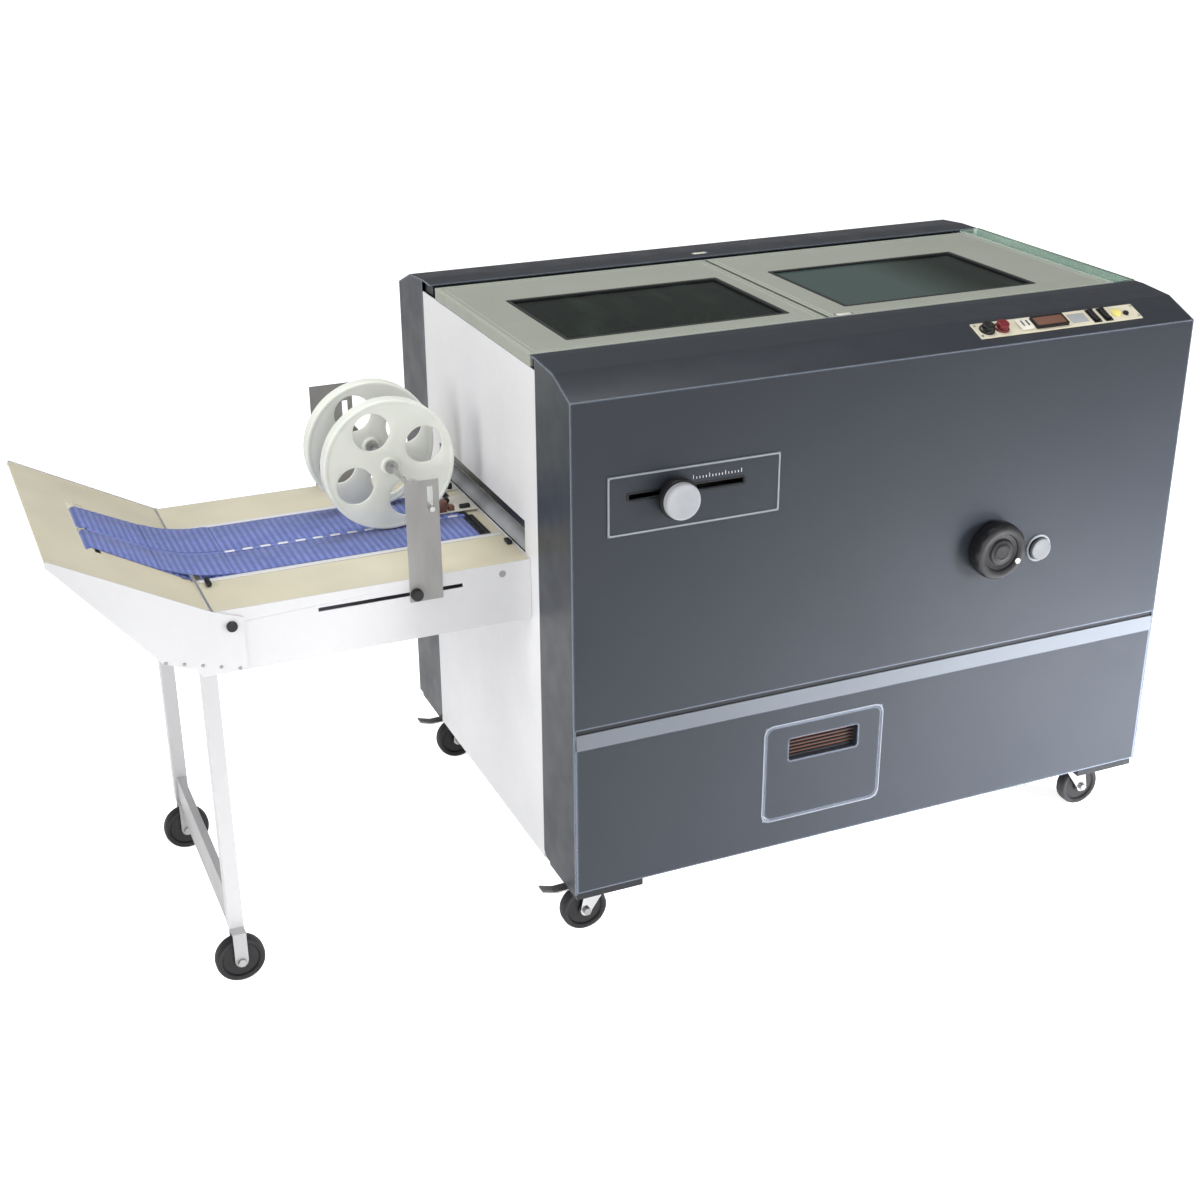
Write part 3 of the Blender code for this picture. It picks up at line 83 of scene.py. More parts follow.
# Places on the front, as x and z, and rectangles on it, as left, right, bottom and top
KNOB, STEM = (0.155, 0.737), (0.158, 0.743)
SLIDER_FACE = -0.0012
HAND_WHEEL, RELEASE = (0.707, 0.566), (0.797, 0.549)
FLUTES, FLUTE_DEPTH = 12, 0.0011
HATCH = (0.3206, 0.5254, 0.1636, 0.3264)
HATCH_OPENING = (0.320, 0.526, 0.163, 0.327)
HATCH_CORNER = 0.014
GRIP = (0.3615, 0.4845, 0.263, 0.301)

# Lids: heights of their face and their trim, and their front and back lines
LID_FACE, LID_TRIM = 0.9180, 0.9191
LID_NEAR, LID_BACK = 0.1495, 0.5600
LID_SIDES = (("left", 0.0035, 0.4775), ("right", 0.4860, 1.0065))
PANE_SIDES = (("left", 0.079, 0.440), ("right", 0.5405, 0.8910))
PANE_NEAR, PANE_BACK = 0.197, 0.441

# Delivery table and ramp
TABLE_NEAR, TABLE_FAR, TABLE_TOP = 0.160, 0.596, 0.604
TRAY_NEAR_FACE, TRAY_FAR_FACE = 0.1577, 0.5983
GUIDE_TOP = 0.0049
FOLD = -0.472
RAMP = math.radians(28)
BELT_LIFT, BELT, BELT_STEP = 0.0003, 0.002, 0.0014
RIB = 0.0007
ROLLER, DRIVE_X, TAIL_X = 0.016, -0.044, -0.438
RAMP_ROLLER, RAMP_NOSE, RAMP_BELT = 0.006, 0.007, 0.150
FOLD_START, FOLD_END = -0.412, 0.050
BELT_NEAR, BELT_FAR = (0.280, 0.362), (0.372, 0.478)
RAMP_NEAR, RAMP_FAR = (0.289, 0.362), (0.372, 0.461)
LANE_NEAR, LANE_FAR = BELT_NEAR[1] + 0.0012, BELT_FAR[0] - 0.0012
PIVOT, CLAMP, TAIL_END = (-0.446, 0.580), (-0.178, 0.581), (-0.4555, 0.6085)

# Press discs: places along the table and across it, and their size
DISC_X, DISC_STARTS, DISC_WIDTH = -0.150, (("near", 0.352), ("far", 0.452)), 0.024
DISC_HOLES, DISC_TURN = 4, 2 * np.pi * 0.28 / 4


# Shapes worked out as arrays


def axes(across, up, out, facing):
    """Puts flat places and a distance out of their plane in X, Y, Z order for a plane that faces an axis."""
    across, up, out = np.broadcast_arrays(across, up, out)
    order = {"X": (out, across, up), "Y": (across, out, up), "Z": (across, up, out)}[facing]
    return np.stack(order, axis=-1).astype(float)


def loft(rings, along=False, caps=True):
    """Quads between neighbouring points of closed rings: (i, j) is joined to (i, j + 1) and (i + 1, j).

    along joins the last ring to the first. Otherwise caps fills both end rings.
    """
    rings = np.asarray(rings, float)
    rows, count = rings.shape[:2]
    i, j = np.meshgrid(np.arange(rows if along else rows - 1), np.arange(count), indexing="ij")
    right, below = (j + 1) % count, (i + 1) % rows
    quads = np.stack((i * count + j, i * count + right, below * count + right, below * count + j), -1)
    faces = quads.reshape(-1, 4).tolist()
    if caps and not along:
        faces += [list(range(count)), list(range((rows - 1) * count, rows * count))]
    return rings.reshape(-1, 3), faces


def turned(profile, centre, facing="Y", sides=64, ring=False):
    """A profile of (radius r, place h along the axis): the point at turn t is (r cos t, r sin t, h)."""
    radius, height = np.asarray(profile, float).T[:, :, None]
    turn = np.linspace(0, 2 * np.pi, sides, endpoint=False)
    points = axes(radius * np.cos(turn), radius * np.sin(turn), height, facing)
    return loft(points + np.asarray(centre, float), along=ring)


def rounded(left, right, bottom, top, radius, steps=5):
    """A rectangle's outline with quarter circles of the radius at its corners, anticlockwise."""
    turn = np.linspace(0, np.pi / 2, steps + 1)
    low_x, high_x, low_y, high_y = left + radius, right - radius, bottom + radius, top - radius
    arcs = []
    for quarter, (x, y) in enumerate(((high_x, high_y), (low_x, high_y), (low_x, low_y), (high_x, low_y))):
        angle = turn + quarter * np.pi / 2
        arcs.append(np.stack((x + radius * np.cos(angle), y + radius * np.sin(angle)), -1))
    return np.concatenate(arcs)


def inset(outline, distance):
    """Moves each point inwards along its edges' mitre, by the distance over the cosine of half the turn."""
    outline = np.asarray(outline, float)
    before = outline - np.roll(outline, 1, 0)
    after = np.roll(outline, -1, 0) - outline
    before /= np.linalg.norm(before, axis=1, keepdims=True) + 1e-12
    after /= np.linalg.norm(after, axis=1, keepdims=True) + 1e-12
    x, y = outline.T
    side = math.copysign(1, np.sum(x * np.roll(y, -1) - y * np.roll(x, -1)))
    first = np.stack((-before[:, 1], before[:, 0]), -1) * side
    second = np.stack((-after[:, 1], after[:, 0]), -1) * side
    mitre = first + second
    mitre /= np.maximum(np.sum(mitre * first, axis=1, keepdims=True), 0.3)
    return outline + mitre * distance


def slab(outline, low, high, facing="Y", edge=0.001, steps=3):
    """An outline drawn out from low to high, its rims rounded: a ring at turn t is inset by edge (1 - sin t)."""
    turn = np.linspace(0, np.pi / 2, steps + 1)
    rings = [(edge * (1 - math.sin(t)), low + edge * (1 - math.cos(t))) for t in turn]
    rings += [(edge * (1 - math.sin(t)), high - edge * (1 - math.cos(t))) for t in turn[::-1]]
    return loft([axes(*inset(outline, d).T, h, facing) for d, h in rings])


def block(low, high, edge=0.001, facing="Y"):
    """A box with rounded edges, given by its lowest and highest corners."""
    a, b, c = {"X": (1, 2, 0), "Y": (0, 2, 1), "Z": (0, 1, 2)}[facing]
    return slab(rounded(low[a], high[a], low[b], high[b], edge, 3), low[c], high[c], facing, edge)


def band(outer, inner, low, high, facing="Y", edge=0.0003):
    """A flat ring between two outlines with as many points each, with its outer and inner rims softened."""
    rows = ((outer, 0, low), (outer, 0, high - edge), (outer, edge, high), (inner, -edge, high),
            (inner, 0, high - edge), (inner, 0, low))
    return loft([axes(*inset(outline, d).T, h, facing) for outline, d, h in rows], along=True)


def rod(start, end, radius, edge=0.0005, sides=24):
    """A straight round bar with softened ends between two places."""
    start, end = Vector(start), Vector(end)
    length = (end - start).length
    profile = ((radius - edge, 0), (radius, edge), (radius, length - edge), (radius - edge, length))
    points, faces = turned(profile, (0, 0, 0), "Z", sides)
    turn = np.array((end - start).to_track_quat("Z", "Y").to_matrix())
    return points @ turn.T + np.array(start), faces


def screw(centre, radius, height, facing="Y", side=-1):
    """A pan head with a socket: at turn t its profile is (0.55 + 0.45 sin t, 0.2 + 0.8 cos t) of its size."""
    turn = np.linspace(0, np.pi / 2, 6)[::-1]
    rim = np.stack((0.55 + 0.45 * np.sin(turn), 0.2 + 0.8 * np.cos(turn)), -1)
    profile = np.concatenate((((0.98, 0),), rim, ((0.42, 1), (0.38, 0.45), (0.05, 0.4))))
    return turned(profile * (radius, side * height), centre, facing, 20)


def join(*shapes):
    """Several shapes as one, the later ones' face numbers moved past the earlier ones' points."""
    start, faces = 0, []
    for points, shape_faces in shapes:
        faces += [[start + number for number in face] for face in shape_faces]
        start += len(points)
    return np.concatenate([points for points, _ in shapes]), faces


def on_plate(shape):
    """A shape drawn flat, as (x, along the slope, height over the control plate), laid on the first slope."""
    x, along, above = (shape[0] + (0, 0, CONTROL_SEAT)).T
    y = SLOPE_RUN * CONTROL_SHARE + along * math.cos(SLOPE) - above * math.sin(SLOPE)
    z = FRONT_TOP + SLOPE_RISE * CONTROL_SHARE + along * math.sin(SLOPE) + above * math.cos(SLOPE)
    return np.stack((x, y, z), -1), shape[1]


def on_table(low, high, edge, facing="Y"):
    """A block whose heights are counted from the table top."""
    lift = (0, 0, TABLE_TOP)
    return block(np.add(low, lift), np.add(high, lift), edge, facing)


def on_ramp(along, above):
    """A place on the ramp, a distance up it from the fold and a height over its surface, as x and z."""
    x = FOLD - along * math.cos(RAMP) + above * math.sin(RAMP)
    z = TABLE_TOP + along * math.sin(RAMP) + above * math.cos(RAMP)
    return x, z


def node_box(node):
    """A node's lowest and highest corners as cabinet places."""
    return [np.array(end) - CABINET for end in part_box(node)]


def add_piece(name, shape, finish, body, replaces=(), sharp=32, rib=None):
    """The shape as an object at the origin, its faces turned outwards, smooth but for edges past the angle.

    rib holds each point's share of a rib's height, which a finish can read by that name.
    """
    points, faces = shape
    mesh = bpy.data.meshes.new(name)
    mesh.from_pydata((points + CABINET).tolist(), [], faces)
    if rib is not None:
        mesh.attributes.new("rib", "FLOAT", "POINT").data.foreach_set("value", np.asarray(rib, np.float32))
    build = bmesh.new()
    build.from_mesh(mesh)
    bmesh.ops.remove_doubles(build, verts=build.verts, dist=1e-6)
    bmesh.ops.recalc_face_normals(build, faces=build.faces)
    build.to_mesh(mesh)
    build.free()
    mesh.materials.append(materials[finish])
    mesh.shade_smooth()
    mesh.set_sharp_from_angle(angle=math.radians(sharp))
    obj = bpy.data.objects.new(name, mesh)
    bpy.context.scene.collection.objects.link(obj)
    if body:
        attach(obj, body)
    if replaces:
        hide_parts(*replaces)
    return obj


# Materials


class Finish:
    """A Principled material with helpers that add grain, patches and bump in Object coordinates."""

    def __init__(self, name, colour, roughness, metallic=0.0, **sockets):
        self.material = bpy.data.materials.new(name)
        self.material.use_nodes = True
        self.nodes = self.material.node_tree.nodes
        self.links = self.material.node_tree.links
        self.shader = self.nodes["Principled BSDF"]
        self.fill(self.shader, Base_Color=colour, Roughness=roughness, Metallic=metallic, **sockets)
        self.colour = tuple(colour)
        self.bump_height = None
        self.coordinates = self.nodes.new("ShaderNodeTexCoord")

    def fill(self, node, **inputs):
        """Sets a node's inputs by name, each to a number, a colour, a vector or another node's output."""
        for name, source in inputs.items():
            self.connect(source, node.inputs[name.replace("_", " ")])
        return node

    def connect(self, source, target):
        if isinstance(source, bpy.types.NodeSocket):
            self.links.new(source, target)
        elif isinstance(source, tuple) and target.type == "RGBA":
            target.default_value = (*source, 1)
        else:
            target.default_value = source

    def node(self, kind, **inputs):
        return self.fill(self.nodes.new("ShaderNode" + kind), **inputs)

    def mapped(self, stretch=(1, 1, 1)):
        return self.node("Mapping", Scale=stretch, Vector=self.coordinates.outputs["Object"]).outputs["Vector"]

    def noise(self, scale, detail=3, stretch=(1, 1, 1)):
        return self.node("TexNoise", Scale=scale, Detail=detail, Vector=self.mapped(stretch)).outputs["Fac"]

    def ranged(self, source, low, high, new_low, new_high):
        """The source's stretch from low to high, laid out from new_low to new_high."""
        node = self.node("MapRange")
        for value, socket in zip((source, low, high, new_low, new_high), node.inputs):
            self.connect(value, socket)
        return node.outputs[0]

    def mix(self, factor, first, second, blend="MIX"):
        """A mix of two colours, which are inputs 6 and 7 of the node."""
        node = self.node("Mix")
        node.data_type = "RGBA"
        node.blend_type = blend
        for value, number in ((factor, 0), (first, 6), (second, 7)):
            self.connect(value, node.inputs[number])
        return node.outputs[2]

    def patches(self, other, scale, strength, detail=2, stretch=(1, 1, 1)):
        """Soft patches of another colour where a coarse noise is high."""
        factor = self.ranged(self.noise(scale, detail, stretch), 0.35, 0.65, 0, strength)
        self.colour = self.mix(factor, self.colour, tuple(other))
        return self

    def rough_patches(self, scale, low, high, stretch=(1, 1, 1)):
        self.fill(self.shader, Roughness=self.ranged(self.noise(scale, 3, stretch), 0.3, 0.7, low, high))
        return self

    def bump(self, height, strength, distance=0.001):
        """A bump from a height source, laid over the bumps added before it."""
        node = self.node("Bump", Strength=strength, Distance=distance, Height=height)
        if self.bump_height:
            self.connect(self.bump_height, node.inputs["Normal"])
        self.bump_height = node.outputs["Normal"]
        return self

    def worn_edges(self, other, radius):
        """A painted highlight: another colour where a rounded normal leaves the true one, which is along convex and
        hollow edges.
        """
        rounded_normal = self.node("Bevel", Radius=radius)
        rounded_normal.samples = 4
        dot = self.node("VectorMath")
        dot.operation = "DOT_PRODUCT"
        self.connect(rounded_normal.outputs["Normal"], dot.inputs[0])
        self.connect(self.node("NewGeometry").outputs["Normal"], dot.inputs[1])
        self.colour = self.mix(self.ranged(dot.outputs["Value"], 0.99, 0.9, 0, 1.0), self.colour, tuple(other))
        return self

    def done(self):
        self.fill(self.shader, Base_Color=self.colour)
        if self.bump_height:
            self.fill(self.shader, Normal=self.bump_height)
        return self.material


def shade(colour, factor):
    return tuple(min(1.0, c * factor) for c in colour)


materials = {}


def coat(key, name, colour, roughness, grain=900, edge=None, gloss=0.5):
    """A paint with soft patches and a fine grain, with a painted highlight along its edges where an edge colour is
    given.
    """
    finish = Finish(name, colour, roughness, Specular_IOR_Level=gloss)
    finish.patches(shade(colour, 0.9), 5, 0.5).patches(shade(colour, 1.12), 60, 0.10)
    finish.rough_patches(25, roughness - 0.05, roughness + 0.06)
    finish.bump(finish.noise(grain, 2), 0.12, 0.0004)
    # The edge colour is a painted highlight along the bends and edges.
    if edge:
        finish.worn_edges(edge, 0.004)
    materials[key] = finish.done()


def metal(key, name, colour, roughness, stretch=(1, 1, 1), strength=0.15):
    """A bare metal whose patches, roughness and bump are stretched along its grain."""
    finish = Finish(name, colour, roughness, 1.0)
    finish.patches(shade(colour, 0.75), 18, 0.5)
    finish.rough_patches(60, roughness - 0.06, roughness + 0.12, stretch)
    finish.bump(finish.noise(500, 3, stretch), strength, 0.0002)
    materials[key] = finish.done()


def moulded(key, name, colour, roughness, grain=1200, strength=0.08):
    """A plastic or rubber with a fine moulded grain."""
    finish = Finish(name, colour, roughness)
    finish.patches(shade(colour, 1.5), 35, 0.25)
    finish.rough_patches(50, roughness - 0.04, roughness + 0.1)
    finish.bump(finish.noise(grain, 2), strength, 0.0003)
    materials[key] = finish.done()


def pane(key, glass, teal=0.0):
    """Smoked glass, paler blue-green and less clear in soft patches where a coarse noise is high, and, for a
    reflection strength above 0, a painted reflection in that blue-green that ends at 0.70 to 0.83 m along.
    """
    finish = Finish(key, glass, 0.04, IOR=1.12)
    blue_green_share = finish.ranged(finish.noise(9, 2, (1.6, 0.5, 1)), 0.52, 0.72, 0, 0.28)
    # Painted reflection: the blue-green share is full up to 0.70 m along the pane and fades out by 0.83 m.
    if teal:
        place = finish.node("SeparateXYZ", Vector=finish.coordinates.outputs["Object"]).outputs["X"]
        blue_green_share = finish.mix(1.0, blue_green_share, finish.ranged(place, CABINET[0] + 0.70, CABINET[0] + 0.83, teal, 0), "LIGHTEN")
    finish.colour = finish.mix(blue_green_share, finish.colour, (0.085, 0.125, 0.115))
    finish.fill(finish.shader, Transmission_Weight=finish.ranged(blue_green_share, 0, 1, 0.93, 0.30))
    finish.bump(finish.noise(4, 1), 0.02, 0.002)
    materials[key] = finish.done()


def make_belt_finish(blue):
    """Blue rubber with painted shade between its ribs and a fine weave across."""
    finish = Finish("blue_belt", blue, 0.62, Sheen_Weight=0.15)
    finish.patches(shade(blue, 0.7), 40, 0.5, 3, (0.35, 1, 1))
    finish.patches(tuple(c + 0.10 for c in blue), 90, 0.4)
    rib = finish.node("Attribute")
    rib.attribute_name = "rib"
    # Painted shade: the colour darkens between the ribs, where a point's rib share is low.
    rib_shade = finish.ranged(rib.outputs["Fac"], 0.0, 0.55, 0.62, 0.0)
    finish.colour = finish.mix(rib_shade, finish.colour, shade(blue, 0.42))
    weave = finish.node("TexWave", Scale=320, Vector=finish.mapped())
    weave.bands_direction = "Y"
    finish.bump(weave.outputs["Fac"], 0.35, 0.0003)
    materials["belt"] = finish.done()


def make_materials(paint):
    """All finishes by name. Grain sizes are in waves per metre, because the model is in metres."""
    slate, white, lid = tuple(paint.cover), tuple(paint.panel), tuple(paint.lid)
    cream, disc, glass = tuple(paint.cream), tuple(paint.disc), tuple(paint.glass)

    # The covers' edges take the slate made seven times lighter, a painted highlight along their bends.
    coat("slate", "slate_paint", slate, 0.36, edge=shade(slate, 7), gloss=0.3)
    coat("dark", "dark_paint", shade(slate, 0.35), 0.45)
    coat("strip", "pale_strip", tuple(paint.strip), 0.35)
    coat("white", "white_paint", white, 0.4)
    # The legs take the white paint darkened to 0.8, painted shade on their faces.
    coat("leg", "leg_paint", shade(white, 0.8), 0.4)
    coat("rail", "rail_paint", shade(white, 0.6), 0.45)
    # The tray takes the white paint darkened to 0.94, painted shade where it gets less light than the end panels.
    coat("tray", "tray_paint", shade(white, 0.94), 0.4)
    # The rims take the lid colour made 1.3 times lighter, a painted highlight.
    coat("rim", "lid_rim", shade(lid, 1.3), 0.4)
    # A near-black copy of the lid colour, painted shade for the gap between the lids.
    coat("seam", "lid_seam", shade(lid, 0.12), 0.5)
    # The lid frames' edges take the lid colour made 1.25 times lighter, a painted highlight.
    coat("lid", "lid_plastic", lid, 0.48, grain=1400, edge=shade(lid, 1.25))
    coat("green", "green_paint", (0.16, 0.22, 0.08), 0.45)
    pane("glass", glass)
    # The right pane carries the painted reflection.
    pane("teal_glass", glass, 1.0)
    make_belt_finish(tuple(paint.belt))

    finish = Finish("cream_paint", cream, 0.5)
    finish.patches(shade(cream, 0.86), 9, 0.6).patches((0.62, 0.55, 0.36), 3, 0.25)
    finish.bump(finish.noise(700, 2), 0.08, 0.0003)
    materials["cream"] = finish.done()

    finish = Finish("guard_acrylic", (0.55, 0.72, 0.62), 0.06, IOR=1.42, Transmission_Weight=0.85)
    finish.patches((0.40, 0.55, 0.48), 6, 0.5)
    materials["guard"] = finish.done()

    finish = Finish("disc_plastic", disc, 0.42, Subsurface_Weight=0.08)
    finish.patches(shade(disc, 0.88), 14, 0.6)
    finish.bump(finish.noise(500, 2), 0.06, 0.0003)
    materials["disc"] = finish.done()

    finish = Finish("grey_coat", (0.34, 0.335, 0.33), 0.55)
    finish.patches((0.26, 0.255, 0.25), 30, 0.6, 3, (1, 1, 0.3))
    finish.bump(finish.noise(900, 2), 0.1, 0.0003)
    materials["grey_plate"] = finish.done()

    metal("steel", "ground_steel", (0.62, 0.62, 0.62), 0.28, (0.05, 1, 1))
    metal("zinc", "zinc_plate", (0.52, 0.51, 0.51), 0.42, (1, 1, 0.06))
    metal("chrome", "chrome_fork", (0.72, 0.73, 0.74), 0.14, strength=0.04)
    metal("brass", "brass", (0.72, 0.55, 0.14), 0.25, strength=0.05)

    moulded("rubber", "rubber", (0.018, 0.018, 0.02), 0.55, 900, 0.2)
    moulded("black", "black_plastic", (0.008, 0.008, 0.009), 0.36)
    moulded("red", "red_plastic", (0.16, 0.012, 0.018), 0.3)
    moulded("grey", "grey_plastic", (0.15, 0.155, 0.165), 0.45)
    moulded("pale", "pale_plastic", (0.33, 0.34, 0.36), 0.45)
    moulded("ivory", "ivory_plastic", (0.66, 0.64, 0.57), 0.4)
    moulded("brown", "brown_rubber", (0.16, 0.07, 0.045), 0.45)
    moulded("yellow", "yellow_plastic", (0.72, 0.62, 0.20), 0.35)
    moulded("print", "white_print", (0.78, 0.79, 0.80), 0.5)
    moulded("line", "pale_line", (0.24, 0.255, 0.28), 0.5)


# Pieces


def dress_nodes():
    """Gives each CAD node its finish, merges its points, and rounds or splits its edges for smooth shading."""
    plain = {
        "slate": ("front_cover", "back_cover", "lower_front_panel", "slider_plate"),
        "dark": ("machine_frame", "top_frame", "main_motor"),
        "strip": ("ledge_strip",),
        "white": ("left_end_panel", "right_end_panel"),
        "tray": ("table_tray",),
        "leg": ("leg_frame",),
        "lid": ("left_lid_frame", "right_lid_frame"),
        "glass": ("left_lid_pane",),
        "teal_glass": ("right_lid_pane",),
        "guard": ("infeed_guard",),
        "cream": ("control_plate", "table_top", "ramp"),
        "green": ("stitching_unit",),
        "zinc": ("paper_bed", "fold_roller_left", "fold_roller_right", "drive_roller", "tail_roller"),
        "grey_plate": ("bracket_near", "bracket_far"),
        "steel": ("exit_roller", "fold_blade", "disc_axle"),
        "rubber": ("drive_belt",),
        "black": ("power_inlet", "display"),
        "chrome": [f"castor_{place}_fork" for place in CASTORS],
    }
    for finish, nodes in plain.items():
        for node in nodes:
            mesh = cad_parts[node].data
            mesh.materials.clear()
            mesh.materials.append(materials[finish])
    # The ramp's side cheeks take the darkened tray paint, painted shade.
    paint_faces("ramp", "tray", lambda at: at[1] < TABLE_NEAR or at[1] > TABLE_FAR)
    paint_faces("leg_frame", "rail", lambda at: at[2] < 0.132)
    widths = {
        "front_cover": 0.0012, "back_cover": 0.0012, "left_lid_frame": 0.002, "right_lid_frame": 0.002,
        "table_tray": 0.0006, "ramp": 0.0006, "ledge_strip": 0.0008, "leg_frame": 0.0015, "control_plate": 0.0006,
        "left_end_panel": 0.0006, "bracket_near": 0.0006, "bracket_far": 0.0006, "infeed_guard": 0.001,
    }
    for node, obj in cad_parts.items():
        if "custom_normal" in obj.data.attributes:
            obj.data.attributes.remove(obj.data.attributes["custom_normal"])
        obj.data.shade_smooth()
        weld = obj.modifiers.new("merge", "WELD")
        weld.merge_threshold = 0.00001
        if node not in widths:
            split = obj.modifiers.new("sharp_edges", "EDGE_SPLIT")
            split.split_angle = math.radians(30)
            continue
        bevel = obj.modifiers.new("soft_edges", "BEVEL")
        bevel.width = widths[node]
        bevel.segments = 2
        bevel.limit_method = "ANGLE"
        bevel.angle_limit = math.radians(35)
        weighted = obj.modifiers.new("flat_faces", "WEIGHTED_NORMAL")
        weighted.weight = 100
        weighted.keep_sharp = True


def paint_faces(node, finish, chosen):
    """Gives a second finish to those faces of a CAD node whose middle passes the test."""
    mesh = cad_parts[node].data
    mesh.materials.append(materials[finish])
    for face in mesh.polygons:
        if chosen(np.array(face.center) - CABINET):
            face.material_index = len(mesh.materials) - 1


def make_slider():
    """Outline, slot lips, knob with its dark ring, and a row of plain scale marks."""
    outer = rounded(0.0545, 0.3245, 0.6875, 0.7765, 0.004)
    inner = rounded(0.0572, 0.3218, 0.6902, 0.7738, 0.0025)
    add_piece("slider_outline", band(outer, inner, SLIDER_FACE, -0.0018), "line", "cabinet")
    outer = rounded(0.0835, 0.2695, 0.7365, 0.7495, 0.003)
    inner = rounded(0.0862, 0.2668, 0.7388, 0.7472, 0.0014)
    add_piece("slider_slot_lip", band(outer, inner, SLIDER_FACE, -0.0022), "black", "cabinet")
    marks = []
    for n, x in enumerate(np.linspace(0.186, 0.262, 16)):
        height = 0.006 if n % 5 == 0 else 0.0035
        outline = rounded(x - 0.0004, x + 0.0004, 0.7555, 0.7555 + height, 0.0002, 2)
        marks.append(slab(outline, -0.0013, -0.0016, edge=0.0001, steps=1))
    add_piece("slider_scale_marks", join(*marks), "print", "cabinet")

    centre = (KNOB[0], 0, KNOB[1])
    disc = turned(((0.0245, -0.0245), (0.0262, -0.0248), (0.027, -0.026), (0.027, -0.0335), (0.0262, -0.0352),
                   (0.0245, -0.036), (0.0225, -0.0358), (0.0205, -0.0352), (0.012, -0.0349), (0.001, -0.0348)),
                  centre)
    add_piece("slider_knob_disc", disc, "pale", "slider", replaces=("slider_knob",))
    ring = turned(((0.0205, -0.013), (0.0290, -0.0140), (0.0302, -0.0155), (0.0302, -0.0225), (0.0292, -0.0243),
                   (0.02, -0.0246)), centre)
    x, z = STEM
    stem = block((x - 0.0036, -0.014, z - 0.0033), (x + 0.0036, 0.004, z + 0.0033), 0.0006)
    inside = block((x - 0.015, 0.0023, z - 0.012), (x + 0.015, 0.0122, z + 0.012), 0.001)
    add_piece("slider_knob_ring", join(ring, stem, inside), "black", "slider")


def make_hand_wheel():
    """The wheel's rim has shallow flutes: its radius is less by a depth times (0.5 - 0.5 cos nt)^3."""
    x, z = HAND_WHEEL
    centre = (x, 0, z)
    profile = np.array(((0.012, -0.0045), (0.040, -0.0045), (0.0445, -0.006), (0.046, -0.009), (0.046, -0.021),
                        (0.0452, -0.0255), (0.0425, -0.0288), (0.039, -0.030), (0.0335, -0.0298),
                        (0.0305, -0.0285), (0.0290, -0.0262), (0.0225, -0.0252), (0.0205, -0.0262),
                        (0.0195, -0.0282), (0.0150, -0.0288), (0.0020, -0.0290)))
    turn = np.linspace(0, 2 * np.pi, 144, endpoint=False)
    rim = np.clip((profile[:, :1] - 0.0435) / 0.0025, 0, 1)
    radius = profile[:, :1] - FLUTE_DEPTH * rim * (0.5 - 0.5 * np.cos(FLUTES * turn)) ** 3
    wheel = loft(axes(radius * np.cos(turn), radius * np.sin(turn), profile[:, 1:], "Y") + np.array(centre))
    shaft = turned(((0.0079, 0.138), (0.0079, 0.0), (0.013, -0.001), (0.013, -0.0046)), centre, sides=32)
    pulley = turned(((0.008, 0.098), (0.024, 0.098), (0.024, 0.100), (0.020, 0.1003), (0.020, 0.1117),
                     (0.024, 0.112), (0.024, 0.114), (0.008, 0.114)), centre, sides=48, ring=True)
    add_piece("hand_wheel_rim", join(wheel, shaft, pulley), "black", "wheel_and_shaft", replaces=("hand_wheel",))
    hub = turned(((0.0145, -0.0280), (0.0150, -0.0292), (0.0135, -0.0301), (0.0105, -0.0303), (0.0095, -0.0296),
                  (0.001, -0.0294)), centre, sides=48)
    add_piece("hand_wheel_cap", hub, "black", "wheel_and_shaft")
    dot = turned(((0.0042, -0.0275), (0.0042, -0.0302), (0.0034, -0.0308), (0.0005, -0.0309)),
                 (x + 0.0300, 0, z - 0.0180), sides=24)
    add_piece("hand_wheel_dot", dot, "print", "wheel_and_shaft")
    collar = turned(((0.016, -0.0002), (0.019, -0.0002), (0.0195, -0.0012), (0.0185, -0.0028), (0.016, -0.003)),
                    centre, sides=48, ring=True)
    add_piece("hand_wheel_collar", collar, "dark", "cabinet")

    centre = (RELEASE[0], 0, RELEASE[1])
    cap = turned(((0.009, 0.0043), (0.0108, 0.0042), (0.0108, 0.0025), (0.0089, 0.0023), (0.0089, -0.0036),
                  (0.0168, -0.0036), (0.018, -0.0046), (0.018, -0.0078), (0.0172, -0.0094), (0.0155, -0.0100),
                  (0.0125, -0.0096), (0.001, -0.0090)), centre)
    add_piece("release_button_cap", cap, "grey", "release_key", replaces=("release_button",))
    ring = turned(((0.0192, -0.0002), (0.0225, -0.0002), (0.0225, -0.0012), (0.0215, -0.0022),
                   (0.0192, -0.0022)), centre, ring=True)
    add_piece("release_button_ring", ring, "line", "cabinet")


